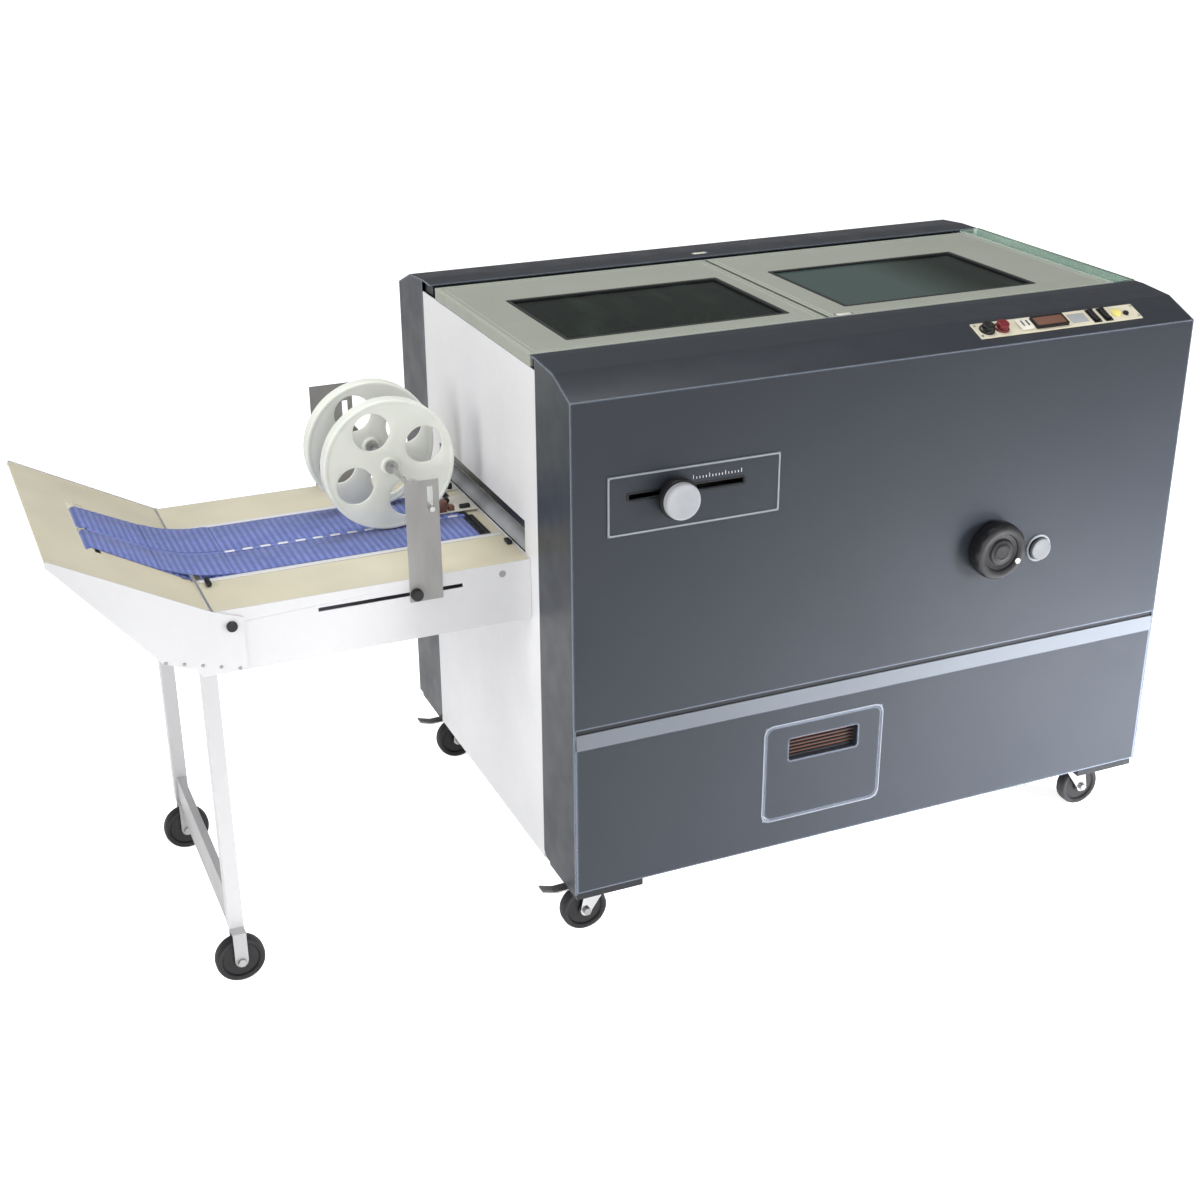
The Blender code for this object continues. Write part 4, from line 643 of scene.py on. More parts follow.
def make_hatch():
    """The door with round corners, its hollow grip with slats, and the fillets in the opening's corners."""
    outline, hole = rounded(*HATCH, HATCH_CORNER, 8), rounded(*GRIP, 0.004, 8)
    rows = ((outline, 0.0, 0.002), (outline, 0.0, 0.0006), (outline, 0.0006, 0.0), (hole, -0.0008, 0.0),
            (hole, 0.0, 0.0010), (hole, 0.0, 0.014), (hole, -0.0018, 0.016), (hole, -0.0018, 0.002))
    pocket = loft([axes(*inset(line, d).T, h, "Y") for line, d, h in rows], along=True)
    floor = slab(hole, 0.0142, 0.0158, edge=0.0002)
    add_piece("hatch_panel", join(pocket, floor), "slate", "hatch", replaces=("hatch_door",))
    left, right, bottom, top = GRIP
    slats = [block((left + 0.002, 0.0095, z - 0.0012), (right - 0.002, 0.0138, z + 0.0012), 0.0005)
             for z in np.linspace(bottom + 0.004, top - 0.004, 6)]
    add_piece("hatch_grip_slats", join(*slats), "dark", "hatch")
    lining = slab(inset(hole, 0.0006), 0.0136, 0.0141, edge=0.0001, steps=1)
    add_piece("hatch_grip_lining", lining, "brown", "hatch")

    left, right, bottom, top = HATCH_OPENING
    turn = np.linspace(0, np.pi / 2, 9)
    fillets = []
    for side_x, x in ((1, right), (-1, left)):
        for side_z, z in ((1, top), (-1, bottom)):
            arc_x = x - side_x * HATCH_CORNER + side_x * HATCH_CORNER * np.cos(turn)
            arc_z = z - side_z * HATCH_CORNER + side_z * HATCH_CORNER * np.sin(turn)
            outline_x, outline_z = np.append(arc_x, x + side_x * 0.0002), np.append(arc_z, z + side_z * 0.0002)
            fillets.append(loft([axes(outline_x, outline_z, h, "Y") for h in (0.0001, 0.0018)]))
    add_piece("hatch_corner_fillets", join(*fillets), "slate", "cabinet")
    outer = rounded(0.3165, 0.5295, 0.1595, 0.3305, 0.0165, 8)
    inner = rounded(0.3180, 0.5280, 0.1610, 0.3290, 0.0155, 8)
    add_piece("hatch_outline", band(outer, inner, 0.0001, -0.0003, edge=0.0001), "line", "cabinet")


def make_controls():
    """Keys, display, lamp and printed fields, drawn flat over the control plate and laid on the slope."""

    def add(name, shape, finish, body="cabinet", slot=None, replaces=()):
        add_piece(name, on_plate(shape), finish, body, replaces)

    for name, x, finish in (("stop", 0.687, "black"), ("start", 0.713, "red")):
        cap = turned(((0.0048, -0.0083), (0.0048, 0.0034), (0.0090, 0.0034), (0.0098, 0.0042), (0.0098, 0.0085),
                      (0.0092, 0.0102), (0.0075, 0.0108), (0.0045, 0.0102), (0.0005, 0.0098)),
                     (x, 0, 0), "Z", 48)
        add(f"{name}_button_cap", cap, finish, f"{name}_key", replaces=(f"{name}_button",))
        bezel = turned(((0.0103, 0), (0.0124, 0), (0.0124, 0.0010), (0.0116, 0.0024), (0.0107, 0.0026),
                        (0.0103, 0.0022)), (x, 0, 0), "Z", 48, ring=True)
        add(f"{name}_button_bezel", bezel, finish)

    reach = 0.0129
    along = np.linspace(-reach, reach, 15)
    upper = np.stack((along, 0.0030 + 0.0016 * (along / reach) ** 2), -1)
    lower = np.stack((along[::-1], np.full(15, -0.0018)), -1)
    outline = np.concatenate((upper, lower))[::-1]
    for n, x in ((1, 0.8815), (2, 0.9025)):
        key = slab(outline, x - 0.0043, x + 0.0043, "X", 0.0005, 2)
        add(f"rocker_{n}_key", key, "black", f"rocker_key_{n}", replaces=(f"rocker_{n}",))
        bezel = band(rounded(x - 0.0072, x + 0.0072, -0.0158, 0.0158, 0.0015),
                     rounded(x - 0.0052, x + 0.0052, -0.0142, 0.0142, 0.0008), 0, 0.0012, "Z")
        add(f"rocker_{n}_bezel", bezel, "black")

    screen = slab(rounded(0.7725, 0.8255, -0.0098, 0.0098, 0.001), 0.0031, 0.0042, "Z", 0.0004)
    add("display_window", screen, "brown")
    bezel = band(rounded(0.7695, 0.8285, -0.0128, 0.0128, 0.002),
                 rounded(0.7722, 0.8258, -0.0102, 0.0102, 0.001), 0, 0.0048, "Z")
    add("display_bezel", bezel, "black")
    add("count_key_block", slab(rounded(0.7420, 0.7660, -0.0115, 0.0115, 0.003), 0, 0.0042, "Z"), "ivory")
    bars = [slab(rounded(x - 0.0012, x + 0.0012, -0.0065, 0.0065, 0.001, 3), 0.0041, 0.0046, "Z", 0.0002)
            for x in (0.7495, 0.7585)]
    add("count_key_slots", join(*bars), "black")
    add("control_field", slab(rounded(0.838, 0.868, -0.0105, 0.0105, 0.001), 0, 0.0006, "Z", 0.0002), "pale")
    lamp = turned(((0.0082, 0), (0.0082, 0.002), (0.0066, 0.0042), (0.0036, 0.0052), (0.0004, 0.0055)),
                  (0.924, 0, 0), "Z", 32)
    add("lamp_lens", lamp, "yellow", slot="cream_label")
    plug = turned(((0.0046, 0), (0.0046, 0.0024), (0.0036, 0.0034), (0.0004, 0.0036)), (0.9400, -0.0035, 0), "Z", 24)
    add("control_plug", plug, "black")
    screws = [screw((x, y, 0), 0.0022, 0.0012, "Z", 1) for x in (0.6715, 0.9595) for y in (-0.0125, 0.0125)]
    add("control_plate_screws", join(*screws), "steel")


def make_lid_trim():
    """Gaskets round the panes, raised rims round the lids in a lighter lid colour as a painted highlight, a dark
    strip as painted shade over the gap between the lids, and the two pale catches, each in a dark ring of painted
    shadow.
    """
    for side, left, right in PANE_SIDES:
        outer = rounded(left - 0.003, right + 0.003, PANE_NEAR - 0.003, PANE_BACK + 0.003, 0.004)
        inner = rounded(left + 0.004, right - 0.004, PANE_NEAR + 0.004, PANE_BACK - 0.004, 0.003)
        gasket = band(outer, inner, LID_FACE - 0.0020, LID_TRIM, "Z", 0.0006)
        add_piece(f"{side}_pane_gasket", gasket, "rubber", f"{side}_lid")
    for side, left, right in LID_SIDES:
        bands = []
        for step, width in ((0.0, 0.0030), (0.0090, 0.0020)):
            line = rounded(left + step, right - step, LID_NEAR + step, LID_BACK - step, 0.002)
            bands.append(band(line, inset(line, width), LID_FACE, LID_TRIM, "Z"))
        # The rims' lighter colour is a painted highlight.
        add_piece(f"{side}_lid_rims", join(*bands), "rim", f"{side}_lid")
    # A dark strip over the split between the lids, painted shade of the gap.
    seam = block((0.4812, 0.1490, 0.9178), (0.4848, LID_BACK, 0.9190), 0.0003, "Z")
    add_piece("lid_seam", seam, "seam", "right_lid")
    for name, x, y, body in (("front", 0.513, 0.1560, "right_lid"), ("back", 0.4975, 0.6125, "cabinet")):
        catch = slab(rounded(x - 0.0125, x + 0.0125, y - 0.0052, y + 0.0052, 0.003), LID_FACE, 0.9192, "Z", 0.0004)
        outer = rounded(x - 0.0155, x + 0.0155, y - 0.0060, y + 0.0060, 0.0035)
        inner = rounded(x - 0.0128, x + 0.0128, y - 0.0054, y + 0.0054, 0.003)
        add_piece(f"lid_catch_{name}", catch, "ivory", body)
        # A dark ring round each catch, a painted shadow.
        add_piece(f"lid_catch_{name}_edge", band(outer, inner, LID_FACE, LID_TRIM, "Z"), "grey", body)


def make_inside():
    """What shows through the panes: guide bars, cross blocks, cams in a vivid yellow as painted glints, brass bushes
    and the stitch fittings.
    """
    bar_z, cam_z, axle_z = 0.842, 0.8725, 0.846
    bars = [rod((start, y, bar_z), (end, y, bar_z), 0.005)
            for y in (0.235, 0.285, 0.345, 0.405) for start, end in ((0.045, 0.262), (0.306, 0.455))]
    glint_cams, brass = [], []
    for x in (0.09, 0.14, 0.20, 0.35, 0.41):
        bars.append(block((x - 0.006, 0.150, 0.850), (x + 0.006, 0.600, 0.858), 0.001, "Z"))
        for y in (0.26, 0.315, 0.375):
            centre = (x, y, cam_z)
            glint_cams.append(turned(((0.014, -0.006), (0.0165, -0.005), (0.0165, 0.005), (0.014, 0.006)), centre,
                                 sides=32))
            brass.append(turned(((0.006, -0.011), (0.007, -0.010), (0.007, 0.010), (0.006, 0.011)), centre,
                                sides=20))
    add_piece("inside_guide_bars", join(*bars), "steel", "cabinet")
    # The cams' vivid yellow stands in for glints under the panes, a painted highlight.
    add_piece("inside_cams", join(*glint_cams), "yellow", "cabinet")
    add_piece("inside_bushes", join(*brass), "brass", "cabinet")
    fittings = []
    for y in (0.298, 0.458):
        for x in (0.560, 0.600, 0.770, 0.820, 0.870):
            fittings.append(block((x - 0.010, y - 0.016, 0.800), (x + 0.010, y + 0.016, 0.838), 0.002))
            fittings.append(rod((x, y - 0.024, axle_z), (x, y + 0.024, axle_z), 0.006))
    add_piece("inside_stitch_fittings", join(*fittings), "brass", "cabinet")


def belt_path(first, second, radius):
    """A belt's middle line round two equal rollers, evenly spaced: two straight runs and two half circles.

    Gives x, z, the outward normal's x and z, the way s along the line and its total.
    """
    (x1, z1), (x2, z2) = first, second
    run = math.hypot(x2 - x1, z2 - z1)
    ux, uz = (x2 - x1) / run, (z2 - z1) / run
    total = 2 * run + 2 * math.pi * radius
    s = np.linspace(0, total, int(total / BELT_STEP), endpoint=False)
    half = math.pi * radius
    stretches = (s < run, (s >= run) & (s < run + half), (s >= run + half) & (s < 2 * run + half))
    t1, t2 = (s - run) / radius, (s - 2 * run - half) / radius
    out_along = np.select(stretches, (0 * s, np.sin(t1), 0 * s), -np.sin(t2))
    out_above = np.select(stretches, (0 * s + 1, np.cos(t1), 0 * s - 1), -np.cos(t2))
    along = np.select(stretches, (s, 0 * s + run, 2 * run + half - s), 0) + radius * out_along
    above = radius * out_above
    x, z = x1 + along * ux - above * uz, z1 + along * uz + above * ux
    return x, z, out_along * ux - out_above * uz, out_along * uz + out_above * ux, s, total


def strip_rings(x, z, out_x, out_z, near, far, inner, outer, across, down):
    """Rings of a strip along a line: a section's point (y, h) lies at y, and h out along the line's normal."""
    section = ((near, inner), (near, outer - down), (near + across, outer), (far - across, outer),
               (far, outer - down), (far, inner))
    return np.stack([axes(x + out_x * h, z + out_z * h, y, "Y") for y, h in section], axis=1)


def belt(first, second, radius, first_sides, second_sides, pitch):
    """A ribbed belt: its outer side stands out by RIB (1 + cos 2 pi s / pitch)^2 / 4 at the place s along it."""
    x, z, out_x, out_z, s, total = belt_path(first, second, radius + BELT_LIFT + BELT / 2)
    count = max(1, round(total / pitch))
    wave = (0.5 + 0.5 * np.cos(2 * np.pi * s * count / total)) ** 2
    share = np.clip((x - second[0]) / (first[0] - second[0]), 0, 1)
    near, far = (end + (start - end) * share for start, end in zip(first_sides, second_sides))
    rings = strip_rings(x, z, out_x, out_z, near, far, -BELT / 2, BELT / 2 - RIB + RIB * wave, 0.0006, 0.0006)
    return loft(rings, along=True), np.repeat(wave, rings.shape[1])


def fold_line(t, over):
    """The belt's way over the fold at the share t: (1 - t)^2 start + 2 t (1 - t) corner + t^2 end, as x and z."""
    start = np.array((FOLD_START, TABLE_TOP + over))
    end = np.array(on_ramp(FOLD_END, over))
    corner = np.array((FOLD + over * math.tan(RAMP / 2), TABLE_TOP + over))
    t = np.asarray(t)[:, None]
    return (1 - t) ** 2 * start + 2 * t * (1 - t) * corner + t ** 2 * end


def fold_strip(near, far, over, thick, pitch, rib):
    """A strip that lies over the fold: the same ribs, counted along the way, on a sheet of even thickness."""
    t = np.linspace(0, 1, 80)
    x, z = fold_line(t, over).T
    step_x, step_z = np.gradient(x), np.gradient(z)
    length = np.hypot(step_x, step_z)
    s = np.concatenate(((0,), np.cumsum(np.hypot(np.diff(x), np.diff(z)))))
    wave = (0.5 + 0.5 * np.cos(2 * np.pi * s / pitch)) ** 2
    fade = np.clip(np.minimum(s, s[-1] - s) / 0.006, 0, 1)
    top = thick * (0.25 + 0.75 * fade) - rib + rib * wave
    near_line, far_line = near[0] + (near[1] - near[0]) * t, far[0] + (far[1] - far[0]) * t
    rings = strip_rings(x, z, step_z / length, -step_x / length, near_line, far_line, 0, top, 0.0005, 0.0003)
    return loft(rings), np.repeat(wave, rings.shape[1])


def make_belts(sizes):
    """Ribbed belts of the table and the ramp, the strips over the fold, the lane between them and its marks."""
    level, pitch = TABLE_TOP - ROLLER, sizes.rib_pitch
    table_ends = (TAIL_X, level), (DRIVE_X, level)
    ramp_ends = [on_ramp(along, BELT_LIFT - RAMP_ROLLER) for along in (RAMP_BELT, RAMP_NOSE)]
    sides = (("near", BELT_NEAR, RAMP_NEAR), ("far", BELT_FAR, RAMP_FAR))
    for name, start, _ in sides:
        shape, ribs = belt(*table_ends, ROLLER, start, start, pitch)
        add_piece(f"ribbed_belt_{name}", shape, "belt", "cabinet", (f"delivery_belt_{name}",), 50, ribs)
    for name, start, tip in sides:
        shape, ribs = belt(*ramp_ends, RAMP_ROLLER, tip, start, pitch)
        add_piece(f"ribbed_ramp_belt_{name}", shape, "belt", "ramp_unit", (f"ramp_belt_{name}",), 50, ribs)

    over = BELT_LIFT + BELT + 0.0003
    reach = FOLD_END / RAMP_BELT
    parts = []
    for _, start, tip in sides:
        near, far = ((side, side + (tip_side - side) * reach) for side, tip_side in zip(start, tip))
        parts.append(fold_strip(near, far, over, 0.0016, pitch, RIB))
    lane, wave = fold_strip((LANE_NEAR, LANE_NEAR), (LANE_FAR, LANE_FAR), over - 0.0004, 0.0012, pitch, 0.0)
    parts.append((lane, np.ones(len(wave))))
    bridge = add_piece("belt_over_fold", join(*(shape for shape, _ in parts)), "belt", None, sharp=50,
                       rib=np.concatenate([ribs for _, ribs in parts]))
    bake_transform(bridge)

    lane = on_table((FOLD_START, LANE_NEAR, 0.0003), (-0.030, LANE_FAR, 0.0020), 0.0004, "Z")
    add_piece("belt_lane_strip", lane, "belt", "cabinet", rib=np.ones(len(lane[0])))
    points, faces = block((FOLD_END, LANE_NEAR, 0.0003), (RAMP_BELT - 0.004, LANE_FAR, 0.0020), 0.0004, "Z")
    x, z = on_ramp(points[:, 0], points[:, 2])
    add_piece("ramp_lane_strip", (np.stack((x, points[:, 1], z), -1), faces), "belt", "ramp_unit",
              rib=np.ones(len(points)))
    dashes = [on_table((x, LANE_NEAR + 0.0008, 0.0018), (x + 0.015, LANE_FAR - 0.0008, 0.0028), 0.0004, "Z")
              for x in np.arange(FOLD_START + 0.004, -0.05, 0.027)]
    add_piece("belt_lane_marks", join(*dashes), "print", "cabinet")
    edges = [on_table((-0.466, y, 0.0001), (-0.004, y + 0.010, 0.0014), 0.0004, "Z") for y in (0.2680, 0.4800)]
    add_piece("belt_side_strips", join(*edges), "white", "cabinet")


def make_table_trim():
    """Screws, pivot, knurled clamps, whose radius waves by cos 24t, and the small parts at the outlet."""
    screws = [screw((x, TRAY_NEAR_FACE, z), 0.0026, 0.0012)
              for x, z in ((-0.541, 0.541), (-0.516, 0.535), (-0.491, 0.528), (-0.466, 0.521), (-0.440, 0.514))]
    add_piece("ramp_cheek_screws", join(*screws), "zinc", "ramp_unit")
    pivot = turned(((0.0078, 0.0), (0.0078, -0.0035), (0.0070, -0.0048), (0.0045, -0.0052), (0.0004, -0.0052)),
                   (PIVOT[0], TRAY_NEAR_FACE, PIVOT[1]), sides=32)
    add_piece("ramp_pivot_cap_near", pivot, "black", "ramp_unit")
    turn = np.linspace(0, 2 * np.pi, 72, endpoint=False)
    radii, heights, knurls = np.array(((0.0078, 0.0, 0), (0.0088, 0.0008, 1), (0.0088, 0.0088, 1),
                                       (0.0078, 0.0108, 0), (0.0020, 0.0112, 0))).T[:, :, None]
    radius = radii + 0.0003 * np.cos(24 * turn) * knurls
    for name, start, side in (("near", TRAY_NEAR_FACE, -1), ("far", TRAY_FAR_FACE, 1)):
        points = axes(radius * np.cos(turn), radius * np.sin(turn), start + side * heights, "Y")
        add_piece(f"clamp_knob_{name}", loft(points + np.array((CLAMP[0], 0, CLAMP[1]))), "black", "disc_carriage")

    # A black bar along the top of the exit slot, a painted shadow under the end panel's edge.
    bar = block((0.0032, 0.1815, 0.6415), (0.0056, 0.5745, 0.6562), 0.0005)
    add_piece("outlet_black_bar", bar, "black", "cabinet")
    share = np.linspace(0, np.pi / 2, 8)
    top = np.stack((0.0035 + 0.0190 * (1 - np.cos(share)), 0.6062 + 0.0168 * np.sin(share)), -1)
    outline = np.concatenate((top, ((0.045, 0.6230), (0.045, 0.6205), (0.023, 0.6205), (0.0060, 0.6062))))
    chute = slab(outline, 0.1845, 0.5715, "Y", 0.0004, 1)
    add_piece("outlet_chute", chute, "pale", "cabinet")
    plates = (on_table((-0.0700, 0.3790, 0.0034), (-0.0030, 0.4460, 0.0050), 0.0005, "Z"),
              on_table((-0.0420, 0.4800, 0.0002), (-0.0030, 0.5700, 0.0030), 0.0005, "Z"))
    add_piece("outlet_guide_plates", join(*plates), "ivory", "cabinet")
    brown = (on_table((-0.0690, 0.3800, GUIDE_TOP), (-0.0530, 0.3960, 0.0230), 0.0015),
             on_table((-0.0500, 0.3830, GUIDE_TOP), (-0.0400, 0.3930, 0.0130), 0.0012))
    add_piece("outlet_brown_block", join(*brown), "brown", "cabinet")

    def post(x, y, low, high, radius):
        return rod((x, y, TABLE_TOP + low), (x, y, TABLE_TOP + high), radius)

    dark = (turned(((0.0004, -0.0055), (0.0040, -0.0048), (0.0062, 0.0), (0.0040, 0.0048), (0.0004, 0.0055)),
                   (-0.0440, 0.4150, TABLE_TOP + 0.0110), "Z", 24),
            post(-0.0440, 0.4150, GUIDE_TOP, 0.0100, 0.0022),
            on_table((-0.0300, 0.3860, GUIDE_TOP), (-0.0130, 0.3930, 0.0110), 0.0012),
            post(-0.0140, 0.4860, 0.0028, 0.0120, 0.0045),
            on_table((-0.0110, 0.2250, 0.0002), (-0.0030, 0.2420, 0.0060), 0.0012),
            on_table((-0.0256, 0.2790, 0.0002), (-0.0180, 0.3640, 0.0022), 0.0005))
    add_piece("outlet_dark_parts", join(*dark), "black", "cabinet")
    green = on_table((-0.0560, 0.4800, 0.0004), (-0.0440, 0.4940, 0.0220), 0.0015)
    add_piece("outlet_green_block", green, "green", "cabinet")
    x, z = TAIL_END
    add_piece("tail_shaft_end", rod((x, 0.249, z), (x, 0.268, z), 0.004), "black", "cabinet")


def sector_loop(inner, outer, half, samples):
    """The edge of a ring's sector as a closed loop: out along one side, round, back, and round inside."""
    t = np.linspace(0, 1, samples, endpoint=False)
    radius = np.concatenate((inner + (outer - inner) * t, outer + 0 * t, outer + (inner - outer) * t, inner + 0 * t))
    angle = np.concatenate((-half + 0 * t, -half + 2 * half * t, half + 0 * t, half - 2 * half * t))
    return np.stack((radius * np.cos(angle), radius * np.sin(angle)), -1)


def disc_web(inner, outer, hole, ring, low, high, edge=0.0012):
    """Sectors, each between its own edge and a round hole of the radius r, joined at their straight sides."""
    loop = sector_loop(inner, outer, np.pi / DISC_HOLES, 14)
    from_hole = loop - np.array((ring, 0))
    angle = np.unwrap(np.arctan2(from_hole[:, 1], from_hole[:, 0]))
    even = angle[0] + np.linspace(0, 2 * np.pi, len(loop), endpoint=False)
    angle = 0.5 * angle + 0.5 * even

    def circle(r):
        return np.stack((ring + r * np.cos(angle), r * np.sin(angle)), -1)

    chamfer = edge * 0.3
    middle = 0.5 * loop + 0.5 * circle(hole + edge)
    rows = [(loop, high), (middle, high), (circle(hole + edge), high), (circle(hole + chamfer), high - chamfer),
            (circle(hole), high - edge), (circle(hole), low + edge), (circle(hole + chamfer), low + chamfer),
            (circle(hole + edge), low), (middle, low), (loop, low)]
    shapes = []
    for n in range(DISC_HOLES):
        a = DISC_TURN + 2 * np.pi * n / DISC_HOLES
        spin = np.array(((math.cos(a), math.sin(a)), (-math.sin(a), math.cos(a))))
        shapes.append(loft([axes(*(flat @ spin).T, h, "Y") for flat, h in rows], caps=False))
    return join(*shapes)


def make_discs():
    """Each disc is a web with four holes, a rim and a hub, turned about the lifting axle."""
    axle_low, axle_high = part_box("disc_axle")
    centre = np.array((DISC_X, 0.0, (axle_low.z + axle_high.z) / 2))
    for name, low in DISC_STARTS:
        high = low + DISC_WIDTH
        points, faces = disc_web(0.0165, 0.0975, 0.029, 0.061, low + 0.0012, low + 0.0052)
        web = points + centre, faces
        rim = turned(((0.0965, low + 0.0006), (0.0985, low), (0.1012, low + 0.0003), (0.1028, low + 0.0020),
                      (0.1030, low + 0.0040), (0.1030, high - 0.0040), (0.1028, high - 0.0020),
                      (0.1012, high - 0.0003), (0.0985, high), (0.0970, high - 0.0012), (0.0966, low + 0.0060)),
                     centre, sides=128, ring=True)
        hub = turned(((0.0043, low - 0.0030), (0.0115, low - 0.0030), (0.0130, low - 0.0018),
                      (0.0138, low + 0.0008), (0.0180, low + 0.0012), (0.0180, low + 0.0052),
                      (0.0165, high - 0.0015), (0.0150, high), (0.0043, high)), centre, ring=True)
        add_piece(f"press_disc_{name}_body", join(web, rim, hub), "disc", "press_discs",
                  replaces=(f"press_disc_{name}",))
        collar = turned(((0.0041, low - 0.0110), (0.0085, low - 0.0110), (0.0095, low - 0.0100),
                         (0.0095, low - 0.0042), (0.0085, low - 0.0033), (0.0041, low - 0.0033)), centre,
                        sides=40, ring=True)
        add_piece(f"press_disc_{name}_collar", collar, "zinc", "lifting_axle")


def make_wheels():
    """Wheels with a rounded tread, a dished rim, a hub and an axle nut."""
    places = [(f"castor_{at}_wheel", f"castor_{at}_rolling", f"castor_{at}_turning") for at in CASTORS]
    places += [("leg_wheel_near", "near_leg_wheel", "cabinet"), ("leg_wheel_far", "far_leg_wheel", "cabinet")]
    half_tread = ((0.0312, 0.0100), (0.0330, 0.0109), (0.0350, 0.0104), (0.0366, 0.0085), (0.0374, 0.0050))
    half_rim = ((0.0045, 0.0116), (0.0100, 0.0116), (0.0112, 0.0106), (0.0120, 0.0072), (0.0270, 0.0066),
                (0.0290, 0.0092), (0.0314, 0.0098))
    hexagon = 0.0068 * np.exp(1j * np.linspace(0, 2 * np.pi, 6, endpoint=False))
    for node, body, fork in places:
        low, high = node_box(node)
        centre = (low + high) / 2
        tread = [(r, -h) for r, h in half_tread] + [(0.0375, 0.0)] + list(half_tread[::-1])
        add_piece(f"{node}_tread", turned(tread, centre, sides=72, ring=True), "rubber", body, replaces=(node,))
        rim = [(r, -h) for r, h in half_rim] + list(half_rim[::-1])
        add_piece(f"{node}_rim", turned(rim, centre, ring=True), "black", body)
        outline = np.stack((centre[0] + hexagon.real, centre[2] + hexagon.imag), -1)
        nuts = []
        for side in (-1, 1):
            face = centre[1] + side * 0.0163
            nuts.append(slab(outline, *sorted((face - side * 0.0008, face + side * 0.0042)), "Y", 0.0006, 2))
        add_piece(f"{node}_nuts", join(*nuts), "zinc", fork)
    for place in CASTORS:
        low, high = node_box(f"castor_{place}_fork")
        left = place.endswith("left")
        x, y = CASTOR_LEFT if left else CASTOR_RIGHT, (low[1] + high[1]) / 2
        race = turned(((0.0160, 0.0880), (0.0232, 0.0880), (0.0240, 0.0890), (0.0240, 0.0925), (0.0225, 0.0945),
                       (0.0225, 0.0965), (0.0235, 0.0985), (0.0230, 0.0996), (0.0160, 0.0996)),
                      (x, y, 0), "Z", 56, ring=True)
        add_piece(f"castor_{place}_race", race, "chrome", f"castor_{place}_turning")
        screws = [screw((x + dx, y + dy, 0.1000), 0.0045, 0.0022, "Z")
                  for dx in (-PLATE_SCREW, PLATE_SCREW) for dy in (-PLATE_SCREW, PLATE_SCREW)]
        add_piece(f"castor_{place}_plate_screws", join(*screws), "zinc", "cabinet")
        if left:
            make_pedal(place)


def make_pedal(place):
    """A brake lever as a bent plate that slopes up to its end, with ribs across it and a barrel."""
    low, high = node_box(f"castor_{place}_brake_lever")
    _, y, z = (low + high) / 2
    side_line = np.array(((high[0] - 0.001, z), (high[0] - 0.018, z + 0.0004), (low[0] + 0.026, z - 0.0008),
                          (low[0] + 0.018, z + 0.0006), (low[0] + 0.001, z + 0.0058)))
    outline = np.concatenate((side_line + (0, 0.0013), side_line[::-1] - (0, 0.0013)))
    parts = [slab(outline, y - 0.0098, y + 0.0098, "Y", 0.0005, 2),
             rod((high[0] - 0.003, y - 0.0118, z), (high[0] - 0.003, y + 0.0118, z), 0.0029)]
    for x in np.arange(low[0] + 0.003, low[0] + 0.017, 0.0035):
        rise = z + 0.31 * (low[0] + 0.018 - x)
        parts.append(block((x, y - 0.0085, rise + 0.0010), (x + 0.0014, y + 0.0085, rise + 0.0032), 0.0004))
    add_piece(f"castor_{place}_brake_pedal", join(*parts), "zinc", f"castor_{place}_brake",
              replaces=(f"castor_{place}_brake_lever",))


# Studio


def seen_or_not(tree, unseen, seen):
    """A strength that is one value where the camera looks, also through glass, and another for other rays."""
    path, either, choice = (tree.nodes.new("ShaderNode" + kind) for kind in ("LightPath", "Math", "MapRange"))
    either.operation = "MAXIMUM"
    tree.links.new(path.outputs["Is Camera Ray"], either.inputs[0])
    tree.links.new(path.outputs["Is Transmission Ray"], either.inputs[1])
    tree.links.new(either.outputs[0], choice.inputs[0])
    choice.inputs["To Min"].default_value = unseen
    choice.inputs["To Max"].default_value = seen
    return path, choice


def make_floor(stage):
    """A pale floor whose glow whitens it for the camera."""
    bpy.ops.mesh.primitive_plane_add(size=40)
    floor = bpy.context.object
    floor.name = "studio_floor"
    floor.location = (0, 0, -0.0004)
    material = bpy.data.materials.new("studio_white")
    material.use_nodes = True
    tree = material.node_tree
    tree.nodes.clear()
    output, diffuse, glow, add = (tree.nodes.new("ShaderNode" + kind)
                                  for kind in ("OutputMaterial", "BsdfDiffuse", "Emission", "AddShader"))
    diffuse.inputs["Color"].default_value = (0.9, 0.9, 0.9, 1)
    _, strength = seen_or_not(tree, stage.floor_light, stage.floor_glow)
    tree.links.new(strength.outputs[0], glow.inputs["Strength"])
    tree.links.new(diffuse.outputs[0], add.inputs[0])
    tree.links.new(glow.outputs[0], add.inputs[1])
    tree.links.new(add.outputs[0], output.inputs["Surface"])
    floor.data.materials.append(material)


def make_world(stage):
    """White behind the object, a soft fill on it, and a dimmer room in glossy surfaces."""
    world = bpy.data.worlds.new("studio")
    bpy.context.scene.world = world
    world.use_nodes = True
    tree = world.node_tree
    background = tree.nodes["Background"]
    background.inputs["Color"].default_value = (1, 1, 1, 1)
    path, strength = seen_or_not(tree, stage.fill, 1.0)
    room = tree.nodes.new("ShaderNodeMapRange")
    room.inputs["To Min"].default_value = stage.fill
    room.inputs["To Max"].default_value = stage.mirrored
    tree.links.new(path.outputs["Is Glossy Ray"], room.inputs[0])
    tree.links.new(room.outputs[0], strength.inputs["To Min"])
    tree.links.new(strength.outputs[0], background.inputs["Strength"])


